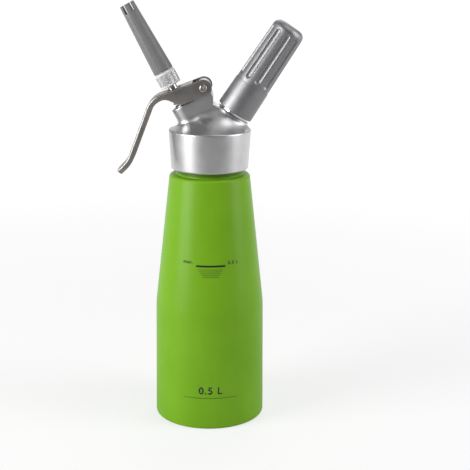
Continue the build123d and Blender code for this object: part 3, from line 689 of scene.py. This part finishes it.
# %% The head's shapes
BOSS_RADIUS, BOSS_FOOT, BOSS_TOP = 8.5, 8.0, 40.9
LUG_RADIUS = 5.0
RIM_ROUNDING = 0.8
EDGE, FILLET, PORT_FILLET = 1.0, 4.0, 7.0
cap_outline = [(-1, 187.0), (26.94, 187.0), (28.52, 213.36), (8.34, 221.7), (-1, 221.7)]
port_outline = [(-1, 15), (18, 15), (13.3, 24.5), (11.7, 28.1), (11.7, 30.3), (-1, 30.3)]
slab_outline = [(-3.8, 202.3), (-19.6, 231.2), (-11.2, 235.8), (-9.3, 244.4), (0.7, 244.4)]
slab_outline += [(2.5, 238.4), (2.5, 233.0), (9.8, 228.5), (9.5, 202.1)]


def head_distance(points):
    """How far points in mm are from the head's outside, with its fillets."""
    x, y, z = points.T
    cap = polygon_distance(np.hypot(x, y), z, cap_outline) - RIM_ROUNDING
    bore_side, bore_height = seen_from(points, nozzle)
    boss = smooth_max(bore_side - BOSS_RADIUS, bore_height - BOSS_TOP, EDGE)
    boss = smooth_max(boss, BOSS_FOOT - bore_height, EDGE)
    lug = np.hypot(x - pivot.x / MM, z - pivot.z / MM) - LUG_RADIUS
    slab = smooth_min(polygon_distance(x, z, slab_outline), lug, EDGE)
    slab = smooth_max(slab, np.abs(y) - BOSS_RADIUS, EDGE)
    port = polygon_distance(*seen_from(points, charger), port_outline)
    return smooth_min(smooth_min(cap, port, PORT_FILLET), np.minimum(slab, boss), FILLET)


print("head distances ready, fillet", FILLET, "mm")

# %% Sample the field and mesh it
CELL = 0.5
BAND = 4 * CELL
STEP, LEAST_SLOPE, ROUNDS = 0.01, 0.25, 4


def skin_of(name, distance, low, high):
    """A mesh of the surface where distance is 0, sampled in the box from low to high, in mm."""
    axes = [a + CELL * np.arange(int((b - a) / CELL) + 1) for a, b in zip(low, high)]
    grid = np.stack(np.meshgrid(*axes, indexing="ij"), axis=-1)
    field = distance(grid.reshape(-1, 3)).reshape(grid.shape[:3]).astype(np.float32)
    volume = openvdb.FloatGrid(BAND)
    volume.copyFromArray(np.clip(field, -BAND, BAND))
    points, triangles, quads = volume.convertToPolygons(isovalue=0.0)
    points = points.astype(float) * CELL + np.array(low)
    for _ in range(ROUNDS):
        value = distance(points)
        slope = [distance(points + step) - distance(points - step) for step in np.eye(3) * STEP]
        slope = np.stack(slope, axis=1) / (2 * STEP)
        points -= slope * (value / np.maximum((slope**2).sum(1), LEAST_SLOPE))[:, None]
    mesh = bpy.data.meshes.new(name)
    faces = [tuple(int(i) for i in reversed(face)) for face in [*quads, *triangles]]
    mesh.from_pydata((points * MM).tolist(), [], faces)
    return mesh


head_mesh = skin_of("head", head_distance, (-32, -32, 183), (32, 32, 252))
print("head skin:", len(head_mesh.vertices), "points")

# %% [markdown]
# ### Boring the head
#
# The machinist drills the valve's stepped bore, the charger's recess and the pivot's cross hole after
# casting. Each cutter is a turned piece too, so `spun` makes it, and a Boolean takes it away. Threads are
# ridges along a helix, added in the same way.

# %% Cutters and threads
THREAD_STEPS = 64
SINK = 0.3


def carved(mesh, operation, *others):
    """The mesh after a Boolean with each of the other meshes in turn."""
    for other in others:
        work, tool = in_scene("work", mesh), in_scene("tool", other)
        cut = work.modifiers.new("cut", "BOOLEAN")
        cut.operation, cut.solver, cut.object = operation, "MANIFOLD", tool
        mesh = plain_mesh(work)
        bpy.data.objects.remove(tool)
    return mesh


def drilled(name, place, segments, *steps):
    """A cutter for a stepped bore. Each step is (radius, low, high), from the lowest to the highest."""
    outline = [(0, steps[0][1])]
    for radius, low, high in steps:
        outline += [(radius, low), (radius, high)]
    return spun(name, [*outline, (0, steps[-1][2])], place, segments)


def thread(name, place, radius, low, depth, lead, turns, foot, angle=0.0, inward=False):
    """A closed ridge along a helix: a trapezoid that runs round the axis and climbs by lead per turn."""
    side, crest = (-1 if inward else 1), foot - 0.9 * depth
    section = [(-SINK, -foot / 2), (0, -foot / 2), (depth, -crest / 2)]
    section += [(out, -up) for out, up in reversed(section)]
    count = int(THREAD_STEPS * turns)
    points = []
    for i in range(count + 1):
        around = math.radians(angle) + 2 * math.pi * turns * i / count
        for out, up in section:
            r, climb = radius + side * out, low + lead * turns * i / count + up
            points.append(Vector((r * math.cos(around), r * math.sin(around), climb)) * MM)
    faces = [tuple(range(6)), tuple(reversed(range(count * 6, count * 6 + 6)))]
    for i in range(count):
        for k in range(6):
            a, b = i * 6 + k, i * 6 + (k + 1) % 6
            faces.append((a, a + 6, b + 6, b))
    return closed_mesh(name, points, faces, place)


print("cutters and threads ready")

# %% The finished head and neck
CEILING = 200.5
SKIRT_BORE = 25.3
PORT_THREAD_RADIUS = 8.75
PORT_EDGE, PORT_REACH, PORT_FOOT = 0.3, 12, 28
neck_sizes = {"depth": 1.2, "lead": 8.0, "turns": 1.0, "foot": 1.9}
port_sizes = {"depth": 1.1, "lead": 3.0, "turns": 2.0, "foot": 1.3}
valve_steps = [(6.5, -1, 12), (4.8, 12, 17), (3.58, 17, 20.2), (5.19, 20.2, 22.2)]
valve_steps += [(3.58, 22.2, 29), (6.3, 29, 46)]
spigot = [(0, 29), (PORT_THREAD_RADIUS, 29), (PORT_THREAD_RADIUS, 40.6), (8.35, 41), (0, 41)]


def two_starts(name, radius, low, inward=False):
    """Both starts of the thread between head and neck, half a turn apart."""
    sizes = {**neck_sizes, "inward": inward}
    return [thread(name, upright, radius, low, angle=start, **sizes) for start in (0, 180)]


head_mesh = carved(
    head_mesh,
    "DIFFERENCE",
    drilled("bore", upright, 128, (SKIRT_BORE, 185, CEILING)),
    drilled("valve_bore", nozzle, 64, *valve_steps),
    drilled("outlet_bore", outlet, 48, (3.5, 199, 203.5), (1.5, 203.5, 214.2)),
    drilled("cross_bore", cross, 48, (3.05, -10, 10)),
)
head_mesh = carved(head_mesh, "UNION", spun("spigot", spigot, charger, 96))
head_mesh = carved(
    head_mesh, "DIFFERENCE", drilled("charger_bore", charger, 64, (1.5, 15.8, 32.2), (5, 32.2, 42))
)
head_mesh = carved(
    head_mesh,
    "UNION",
    thread("port_thread", charger, PORT_THREAD_RADIUS, low=31.9, **port_sizes),
    *two_starts("head_thread", SKIRT_BORE, low=189.5, inward=True),
)
smooth(head_mesh, 35)
head_mesh.materials.clear()
head = new_piece("head_casting", head_mesh, "head_body", cap_metal, port_metal)
middles = np.array([face.center for face in head_mesh.polygons]) / MM
from_axis, along = seen_from(middles, charger)
on_port = np.abs(polygon_distance(from_axis, along, port_outline)) < PORT_EDGE
on_port |= (from_axis < PORT_REACH) & (along > PORT_FOOT)
head_mesh.polygons.foreach_set("material_index", on_port.astype(np.int32))
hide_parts("head_body")
bottle.data = carved(bottle.data, "UNION", *two_starts("neck_thread", NECK_RADIUS, low=187.5))
smooth(bottle.data)
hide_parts("bottle_shell")
print("head:", len(head_mesh.polygons), "faces; bottle:", len(bottle.data.polygons), "faces")

# %% [markdown]
# ## Small pieces from the CAD model
#
# The seals, the stem, the washers and the screw already have their exact shape. What they lack is the
# small radius that every real edge has, and clean shading. A copy has its loose triangles merged and its
# flat faces joined, and a Bevel modifier then rounds the edges that turn sharply.

# %% A helper that dresses a CAD piece
def clean_copy(node):
    """A CAD piece's mesh with its points merged and its flat faces joined."""
    shell = opened(nodes[node].data)
    bmesh.ops.remove_doubles(shell, verts=shell.verts, dist=2e-6)
    bmesh.ops.dissolve_degenerate(shell, edges=shell.edges, dist=1e-6)
    bmesh.ops.dissolve_limit(shell, angle_limit=math.radians(0.5), verts=shell.verts, edges=shell.edges)
    mesh = stored(shell, bpy.data.meshes.new(node))
    mesh.materials.clear()
    return mesh


def dressed(node, material, bevel):
    """Stand a bevelled, smooth copy in for a CAD piece."""
    work = in_scene(node + "_work", clean_copy(node))
    if bevel:
        soft = work.modifiers.new("soft", "BEVEL")
        soft.width, soft.segments = bevel * MM, 2
        soft.limit_method, soft.angle_limit = "ANGLE", math.radians(40)
    mesh = plain_mesh(work)
    smooth(mesh, 30)
    piece = new_piece(node + "_dressed", mesh, node, material)
    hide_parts(node)
    return piece


# %% Dress the small pieces
small = {
    "head_gasket": (pale_rubber, 0.3),
    "lever_washers": (nylon, 0.1),
    "pivot_sleeve": (nylon, 0.1),
    "pivot_screw": (screw_metal, 0.12),
    "pivot_nut": (screw_metal, 0.12),
    "stem_o_ring": (black_rubber, 0),
    "valve_seal": (black_rubber, 0.15),
    "valve_stem": (stem_metal, 0.12),
    "spring_collar": (stem_metal, 0.15),
    "tip_washer": (pale_rubber, 0.1),
    "piercing_pin": (stem_metal, 0.04),
    "pin_seal": (black_rubber, 0.15),
    "check_valve_body": (outlet_brass, 0.12),
    "check_valve_flap": (black_rubber, 0.12),
    "gas_charger": (charger_metal, 0.2),
    "holder_insert": (bright_metal, 0.15),
    "holder_pad": (black_rubber, 0.2),
    "decorating_tip": (tip_plastic, 0.18),
}
for node, (material, bevel) in small.items():
    piece = dressed(node, material, bevel)
    print(node, "->", len(piece.data.polygons), "faces")

# %% [markdown]
# ## The lever
#
# The lever is pressed from one sheet: a web, two ears beside the lug, and a handle like a channel that
# ends in a curl. The press leaves its upper edges well rounded, and they catch the light all the way down.
# The solid could be bevelled, but a wide bevel breaks where the bends are tight. Distance functions round
# it evenly: the outer shape is where a side view and a front view overlap, a wide smooth maximum rounds
# the edge between the two, and the same shape made one sheet thinner is taken away.

# %% The lever's side view
SHEET, LEVER_END = 1.8, 6.0
WEB_SLOPE, HANDLE_SLOPE, CURL_SLOPE = (math.radians(slope) for slope in (WEB_LEAN, 69.2, 46.0))
WEB_RUN, HANDLE_RUN, TAIL, COVER_TAIL = 30.2, 35.9, 6.4, 8.0
BEND_RADIUS, CURL_RADIUS = 17.0, 20.0
HANDLE_DEPTH = 4.2
BACK = -12.0
EAR_END = (17.0, -LEVER_END)
BEND_STEPS, CURVE_STEPS = 12, 10


def side_line(first, depth, tail):
    """The lever's upper line in the web's plane, moved inwards by depth: straight runs and two bends."""
    x, y, heading = first, LEVER_END - depth, 0.0
    points = [(x, y)]
    for run, radius, bend in (
        (WEB_RUN - first, BEND_RADIUS - depth, WEB_SLOPE - HANDLE_SLOPE),
        (HANDLE_RUN, CURL_RADIUS + depth, HANDLE_SLOPE - CURL_SLOPE),
        (tail, 0, 0),
    ):
        x, y = x + run * math.cos(heading), y + run * math.sin(heading)
        points.append((x, y))
        for _ in range(BEND_STEPS if bend else 0):
            half = bend / (2 * BEND_STEPS)
            chord = 2 * radius * math.sin(abs(half))
            heading += half
            x, y = x + chord * math.cos(heading), y + chord * math.sin(heading)
            heading += half
            points.append((x, y))
    return points


def eased(start, end, pull):
    """A curve from start to end that leaves and arrives along the vector pull."""
    a, d = Vector(start), Vector(end)
    b, c = a + Vector(pull), d - Vector(pull)
    points = []
    for i in range(1, CURVE_STEPS):
        t = i / CURVE_STEPS
        points.append(tuple(a * (1 - t) ** 3 + b * 3 * t * (1 - t) ** 2 + c * 3 * t**2 * (1 - t) + d * t**3))
    return points


def arc(x, y, radius, start, end, steps=CURVE_STEPS):
    """Points on a circle's arc, between two angles in degrees."""
    turns = [math.radians(start + (end - start) * i / steps) for i in range(steps + 1)]
    return [(x + radius * math.cos(turn), y + radius * math.sin(turn)) for turn in turns]


lower_line = side_line(WEB_RUN - 0.01, HANDLE_DEPTH, TAIL)
side_outline = side_line(0, 0, TAIL) + lower_line[::-1] + eased(lower_line[0], EAR_END, (-5.1, 0))
side_outline += [EAR_END, *arc(0, 0, LEVER_END, 270, 90, 20)]
inner_line = side_line(BACK, SHEET, TAIL - SHEET)
tail_x, tail_y = inner_line[-1]
below = [(tail_x - 5.4, tail_y - 11.4), (BACK, tail_y - 12.6)]
inner_outline = inner_line + below
cover_outline = side_line(BACK, 0, COVER_TAIL) + below
print("side view:", len(side_outline), "points")


# %% The lever's front view and its sheet
EAR_HALF, GRIP_HALF, GRIP_CORNER = 11.0, 8.8, 6.5
FRONT_TOP, TAPER_TOP, TAPER_END, FRONT_FOOT = 12, -2.4, -28.4, -63.5
WEB_START, EAR_GAP = 6.4, 9.2
STEM_AT, STEM_LENGTH, STEM_WIDTH = 20.0, 5.2, 4.6
SCREW_RADIUS = 2.03
UPPER_EDGE, SHEET_EDGE = 1.7, 0.5


def front_outline(inset):
    """Half of the lever seen from the front, from the pivot's height, moved inwards by inset."""
    ear, grip, foot, corner = EAR_HALF - inset, GRIP_HALF - inset, FRONT_FOOT + inset, GRIP_CORNER - inset
    taper = eased((ear, TAPER_TOP), (grip, TAPER_END), (0, -8.7))
    end = arc(grip - corner, foot + corner, corner, 0, -90)
    top = [(-20, FRONT_TOP), (ear, FRONT_TOP), (ear, TAPER_TOP)]
    return [*top, *taper, (grip, TAPER_END), *end, (-20, foot)]


front_outer, front_inner = front_outline(0), front_outline(SHEET)
lean_cos, lean_sin = math.cos(WEB_SLOPE), math.sin(WEB_SLOPE)
web_turned = np.array([[-lean_cos, -lean_sin], [-lean_sin, lean_cos]])


def lever_distance(points):
    """How far points in mm are from the lever's sheet."""
    side = np.abs(points[:, 1])
    away_x, away_z = points[:, 0] - pivot.x / MM, points[:, 2] - pivot.z / MM
    x, y = web_turned @ np.stack([away_x, away_z])
    front = polygon_distance(side, away_z, front_outer)
    outer = smooth_max(polygon_distance(x, y, side_outline), front, SHEET_EDGE)
    outer = np.maximum(outer, smooth_max(polygon_distance(x, y, cover_outline), front, UPPER_EDGE))
    hollow = polygon_distance(side, away_z, front_inner)
    hollow = smooth_max(polygon_distance(x, y, inner_outline), hollow, SHEET_EDGE)
    past_web = np.maximum(np.maximum(x - WEB_START, side - EAR_GAP), -y)
    stem_hole = (np.hypot((x - STEM_AT) / STEM_LENGTH, side / STEM_WIDTH) - 1) * STEM_WIDTH
    stem_hole = np.maximum(stem_hole, -y)
    sheet = smooth_max(outer, -hollow, SHEET_EDGE)
    sheet = smooth_max(smooth_max(sheet, -past_web, SHEET_EDGE), -stem_hole, SHEET_EDGE)
    return np.maximum(sheet, SCREW_RADIUS - np.hypot(x, y))


low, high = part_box("lever")
margin = Vector((1, 1, 1))
lever_mesh = skin_of("lever", lever_distance, low / MM - margin, high / MM + margin)
smooth(lever_mesh, 35)
lever = new_piece("lever_pressed", lever_mesh, "lever", lever_steel)
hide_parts("lever")
print("lever:", len(lever_mesh.polygons), "faces, upper edges rounded by", UPPER_EDGE, "mm")

# %% [markdown]
# ## The knurled adapter
#
# The collar between the valve and the tip is knurled so that fingers can grip it. A knurl is one ridge
# repeated around the collar, so Geometry Nodes place it: a small bar is made once, copied to points on a
# circle, and turned to face outwards. The collar itself is a turned piece with a threaded spigot.

# %% A ridge repeated around an axis
ring, given, result = node_group(
    "GeometryNodeTree",
    "ridges_around",
    {"Count": 56, "Radius": 0.0076, "Width": 0.0006, "Depth": 0.0003, "Length": 0.008, **METAL},
    GEOMETRY,
)
circle = add_node(ring, "GeometryNodeMeshCircle", {"Vertices": given["Count"], "Radius": given["Radius"]})
bar = {"Vertices": 6, "Side Segments": 1, "Radius": 0.5, "Depth": 1.0}
bar = add_node(ring, "GeometryNodeMeshCylinder", bar)
outward = {"Vector": add_node(ring, "GeometryNodeInputPosition").outputs[0]}
facing = add_node(ring, "FunctionNodeAlignEulerToVector", outward, axis="X", pivot_axis="Z")
bars = {
    "Points": circle.outputs[0],
    "Instance": bar.outputs[0],
    "Rotation": facing.outputs[0],
    "Scale": combined(ring, X=given["Depth"], Y=given["Width"], Z=given["Length"]),
}
bars = add_node(ring, "GeometryNodeInstanceOnPoints", bars)
finish_tree(ring, bars.outputs[0], given["Material"], result)

# %% Adapter
KNURL_LOW, KNURL_HIGH = 58.4, 65.6
SPIGOT_RADIUS = 4.5
adapter_outline = rounded(
    [
        (3.55, 56.8, 0),
        (7.1, 56.8, 0),
        (7.6, 57.3, 0.15),
        (7.6, KNURL_LOW - 0.3, 0.1),
        (7.38, KNURL_LOW, 0.1),
        (7.38, KNURL_HIGH, 0.1),
        (7.6, KNURL_HIGH + 0.3, 0.1),
        (7.6, 66.7, 0.15),
        (7.1, 67.2, 0.1),
        (SPIGOT_RADIUS, 67.2, 0.1),
        (SPIGOT_RADIUS, 75.7, 0.2),
        (4.2, 76.0, 0.1),
        (2.6, 76.0, 0),
        (2.6, 65.05, 0),
        (3.55, 65.05, 0),
        (3.55, 56.8, 0),
    ]
)
spigot_sizes = {"depth": 0.8, "lead": 3.0, "turns": 2.0, "foot": 1.3}
spigot_thread = thread("spigot_thread", nozzle, SPIGOT_RADIUS, low=69.25, **spigot_sizes)
adapter_mesh = carved(spun("adapter", adapter_outline, nozzle, 128), "UNION", spigot_thread)
smooth(adapter_mesh, 35)
adapter = new_piece("adapter_collar", adapter_mesh, "tip_adapter", adapter_metal)
bar_sizes = {"Radius": 7.36 * MM, "Width": 0.66 * MM, "Depth": 0.34 * MM}
bar_sizes["Length"] = (KNURL_HIGH - KNURL_LOW) * MM
knurl_mesh = grown("adapter_knurl", ring, adapter_metal, Count=54, **bar_sizes)
knurl_mesh.transform(nozzle @ Matrix.Translation((0, 0, (KNURL_LOW + KNURL_HIGH) / 2 * MM)))
new_piece("adapter_knurl", knurl_mesh, "tip_adapter")
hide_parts("tip_adapter")
print("adapter:", len(adapter_mesh.polygons), "faces; knurl:", len(knurl_mesh.polygons), "faces")

# %% [markdown]
# ## The valve spring
#
# The spring under the lever is a round wire on a helix. A Spiral curve gives the helix, a small circle
# gives the wire, and Curve to Mesh runs one along the other. Its foot stands on the head.

# %% A coil of wire
coil, given, result = node_group(
    "GeometryNodeTree",
    "wire_coil",
    {"Turns": 6.0, "Radius": 0.005, "Height": 0.016, "Wire": 0.0005, **METAL},
    GEOMETRY,
)
helix = {"Start Radius": given["Radius"], "End Radius": given["Radius"], "Height": given["Height"]}
helix = add_node(coil, "GeometryNodeCurveSpiral", {"Resolution": 40, "Rotations": given["Turns"], **helix})
section = {"Resolution": 14, "Radius": given["Wire"]}
section = add_node(coil, "GeometryNodeCurvePrimitiveCircle", section)
tube = {"Curve": helix.outputs[0], "Profile Curve": section.outputs[0], "Fill Caps": True}
tube = add_node(coil, "GeometryNodeCurveToMesh", tube)
finish_tree(coil, tube.outputs[0], given["Material"], result)

# %% Spring
SPRING_LOW, SPRING_HIGH = 29.55, 45.45
SPRING_RADIUS, SPRING_WIRE = 5.0, 0.5
spring_height = SPRING_HIGH - SPRING_LOW
coil_sizes = {"Radius": SPRING_RADIUS * MM, "Height": spring_height * MM, "Wire": SPRING_WIRE * MM}
spring_mesh = grown("spring", coil, stem_metal, Turns=6.0, **coil_sizes)
spring_mesh.transform(nozzle @ Matrix.Translation((0, 0, SPRING_LOW * MM)))
smooth(spring_mesh, 60)
spring = new_piece("spring_wire", spring_mesh, "valve_spring")
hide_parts("valve_spring")
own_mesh(spring)
print("spring:", len(spring_mesh.polygons), "faces")

# %% [markdown]
# ## The charger holder
#
# The holder is a closed sleeve with a fluted grip. The sleeve is turned, so `spun` makes it, in rings
# close enough together for the flutes. A flute is what a round cutter leaves behind, and ten of them
# repeat around the grip: Geometry Nodes move each point inwards, to where the cutter would have stopped.
# Where wall and cutter meet, a soft minimum leaves the small round edge that a buffed part has.

# %% The flutes as a Geometry Nodes tree
GRIP_FOOT, GRIP_END = 54.8, 104.1
GRIP_FOOT_RADIUS, GRIP_END_RADIUS = 12.6, 11.7
GRIP_FROM, GRIP_INSIDE = 56.0, 10.8
GRIP_SLOPE = (GRIP_FOOT_RADIUS - GRIP_END_RADIUS) / (GRIP_END - GRIP_FOOT)
flute_sizes = {
    "Count": 10,
    "Turn": math.radians(-86),
    "Cutter": 3.1 * MM,
    "Depth": 1.1 * MM,
    "Low": 60.11 * MM,
    "High": 96.39 * MM,
    "Edge": 0.3 * MM,
}
fluted, given, result = node_group(
    "GeometryNodeTree", "fluted_grip", {"Blank": "NodeSocketGeometry", **flute_sizes, **METAL}, GEOMETRY
)


def sum_of(operation, first, second=None, third=None):
    """One Math node in the tree of the flutes."""
    return math_node(fluted, operation, *(value for value in (first, second, third) if value is not None))


x, y, z = separated(fluted, add_node(fluted, "GeometryNodeInputPosition").outputs[0])
reach = vector_length(fluted, combined(fluted, X=x, Y=y))
around = sum_of("SUBTRACT", sum_of("ARCTAN2", y, x), given["Turn"])
share = sum_of("MULTIPLY", around, sum_of("DIVIDE", given["Count"], 2 * math.pi))
off = sum_of("SUBTRACT", share, sum_of("ROUND", share))
off_angle = sum_of("DIVIDE", sum_of("MULTIPLY", off, 2 * math.pi), given["Count"])
held = sum_of("MINIMUM", sum_of("MAXIMUM", z, given["Low"]), given["High"])
past = sum_of("SUBTRACT", z, held)
foot_radius = (GRIP_FOOT_RADIUS + GRIP_SLOPE * GRIP_FOOT) * MM
wall_here = sum_of("SUBTRACT", foot_radius, sum_of("MULTIPLY", held, GRIP_SLOPE))
centre = sum_of("ADD", wall_here, sum_of("SUBTRACT", given["Cutter"], given["Depth"]))
aside = sum_of("MULTIPLY", centre, sum_of("SINE", off_angle))
room = sum_of("SUBTRACT", sum_of("POWER", given["Cutter"], 2.0), sum_of("POWER", aside, 2.0))
room = sum_of("SUBTRACT", room, sum_of("POWER", past, 2.0))
cutter_reach = sum_of("SQRT", sum_of("MAXIMUM", room, 0.0))
cut = sum_of("SUBTRACT", sum_of("MULTIPLY", centre, sum_of("COSINE", off_angle)), cutter_reach)
cut = sum_of("ADD", cut, sum_of("LESS_THAN", room, 0.0))
scale = sum_of("DIVIDE", sum_of("SMOOTH_MIN", reach, cut, given["Edge"]), reach)
past_foot = sum_of("GREATER_THAN", z, GRIP_FROM * MM)
on_grip = sum_of("MULTIPLY", sum_of("GREATER_THAN", reach, GRIP_INSIDE * MM), past_foot)
moved = combined(fluted, X=sum_of("MULTIPLY", x, scale), Y=sum_of("MULTIPLY", y, scale), Z=z)
shaped = {"Geometry": given["Blank"], "Selection": on_grip, "Position": moved}
shaped = add_node(fluted, "GeometryNodeSetPosition", shaped)
finish_tree(fluted, shaped.outputs[0], given["Material"], result)


# %% The holder
END_CORNER, END_BULGE, END_STEPS = 5.0, 0.09, 14


def spaced(start, end, step):
    """Heights from start to end in even steps, without the ends."""
    count = max(1, round((end - start) / step))
    return [start + (end - start) * i / count for i in range(1, count)]


grip_wall = [(GRIP_FOOT_RADIUS, GRIP_FOOT)]
for height in spaced(55, 57, 1) + spaced(57, 62, 0.25) + spaced(62, 94, 2) + spaced(94, 99.0, 0.25):
    grip_wall.append((GRIP_FOOT_RADIUS - GRIP_SLOPE * (height - GRIP_FOOT), height))
sleeve = [(11.36, 32.5), (13.4, 32.5, 0.6), (13.17, 43.6, 0), (12.95, GRIP_FOOT, 0.3)]
sleeve = rounded([*sleeve, (12.75, GRIP_FOOT, 0), (GRIP_FOOT_RADIUS, GRIP_FOOT, 0)])
end_cap = []
for step in range(END_STEPS + 1):
    quarter = math.radians(90 * step / END_STEPS)
    bulge = (END_CORNER + END_BULGE * math.cos(quarter)) * math.cos(quarter)
    end_cap.append((GRIP_END_RADIUS - END_CORNER + bulge, GRIP_END - END_CORNER * (1 - math.sin(quarter))))
inside = rounded([(0, 100.6), (9.3, 100.6, 0.4), (9.3, 43.05, 0), (11.36, 43.05, 0), (11.36, 32.5)])
outline = sleeve[:-1] + grip_wall + end_cap + [(0, GRIP_END)] + inside
blank = spun("holder_blank", outline, upright, 600)
holder_mesh = grown("holder", fluted, holder_metal, blank, **flute_sizes)
holder_mesh.transform(charger)
smooth(holder_mesh, 50)
holder = new_piece("holder_grip", holder_mesh, "charger_holder")
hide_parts("charger_holder")
print("holder:", len(holder_mesh.polygons), "faces")

# %% [markdown]
# ## Floor, light and camera
#
# The floor is a wide pale disc that takes the object's shadow. For camera rays it glows, and more so far
# away, so that it fades into a white sweep. The world is white for camera rays too. Metal looks like what
# it mirrors, so mirror rays see the white backdrop only behind the object, and a grey room elsewhere. The
# light comes from large soft boxes: a tall strong one to the left, a tall weaker one to the right, and two
# faint ones above and behind.

# %% Floor and world
def seen_white(tree, backdrop):
    """1 for camera rays, and the backdrop's share for rays that are mirrored or let through."""
    path = add_node(tree, "ShaderNodeLightPath").outputs
    mirrored = math_node(tree, "ADD", path["Is Glossy Ray"], path["Is Transmission Ray"])
    mirrored = math_node(tree, "MULTIPLY", mirrored, backdrop)
    return math_node(tree, "ADD", path["Is Camera Ray"], mirrored, clamp=True)


FLOOR_RADIUS = 9.0
pale_floor, tree, shader = principled("pale_floor")
place = object_place(tree)
behind = ranged(tree, separated(tree, place)[1], -0.15, 0.55, 0.0, 1.0, "SMOOTHSTEP")
seen = seen_white(tree, behind)
far = ranged(tree, vector_length(tree, place), 0.15, 1.3, 0.66, 0.93, "SMOOTHSTEP")
look = {
    "Base Color": blend_colour(tree, seen, (0.62, 0.62, 0.62), (0.34, 0.34, 0.34)),
    "Roughness": 0.9,
    "Specular IOR Level": 0.0,
    "Emission Color": (1, 1, 1, 1),
    "Emission Strength": math_node(tree, "MULTIPLY", seen, far),
}
feed(tree, shader, look)

disc = bmesh.new()
bmesh.ops.create_circle(disc, cap_ends=True, segments=96, radius=FLOOR_RADIUS)
floor_mesh = stored(disc, bpy.data.meshes.new("floor"))
floor_mesh.materials.append(pale_floor)
in_scene("floor", floor_mesh)

world = bpy.data.worlds.new("grey_room")
world.use_nodes = True
room = world.node_tree
look_y = separated(room, add_node(room, "ShaderNodeTexCoord").outputs["Generated"])[1]
grey = ranged(room, look_y, -0.8, 0.4, 0.12, 0.42, "SMOOTHSTEP")
white = seen_white(room, ranged(room, look_y, 0.75, 0.97, 0.0, 0.93, "SMOOTHSTEP"))
strength = math_node(room, "MAXIMUM", grey, white)
feed(room, room.nodes["Background"], {"Color": (1, 1, 1, 1), "Strength": strength})
bpy.context.scene.world = world
print("floor radius", FLOOR_RADIUS, "m")

# %% Soft boxes
LAMPS_LOOK_AT = Vector((0, 0, 0.17))
LAMP_SPREAD = math.radians(110)
# Each row has azimuth to the camera's right and elevation in degrees, distance and size in m, and power in W.
boxes = {
    "box_left": (-61, 12, 1.1, (0.65, 1.1), 5.8),
    "box_right": (78, 16, 1.3, (0.7, 1.1), 3.3),
    "box_top": (60, 66, 1.3, (0.7, 0.7), 1.0),
    "box_back": (172, 36, 1.3, (0.9, 0.5), 0.9),
}
for name, (azimuth, elevation, distance, sides, power) in boxes.items():
    lamp = bpy.data.lights.new(name, "AREA")
    lamp.shape, lamp.spread, lamp.energy = "RECTANGLE", LAMP_SPREAD, power
    lamp.size, lamp.size_y = sides
    a, e = math.radians(azimuth), math.radians(elevation)
    towards = Vector((math.sin(a) * math.cos(e), -math.cos(a) * math.cos(e), math.sin(e)))
    box = in_scene(name, lamp)
    box.location = LAMPS_LOOK_AT + towards * distance
    box.rotation_euler = towards.to_track_quat("Z", "Y").to_euler()
print("lamps:", list(boxes))

# %% Camera
CAMERA_AT = Vector((18.5, -800, 345)) * MM
CAMERA_DOWN, CAMERA_ROLL = math.radians(14.65), math.radians(0.35)
lens = bpy.data.cameras.new("camera")
lens.sensor_width, lens.lens = 36.0, 86.6
camera = in_scene("camera", lens)
turned = Matrix.Rotation(math.radians(90) - CAMERA_DOWN, 4, "X") @ Matrix.Rotation(CAMERA_ROLL, 4, "Z")
camera.matrix_world = Matrix.Translation(CAMERA_AT) @ turned
bpy.context.scene.camera = camera
bpy.context.scene.view_settings.view_transform = "Standard"
print("camera at", CAMERA_AT)
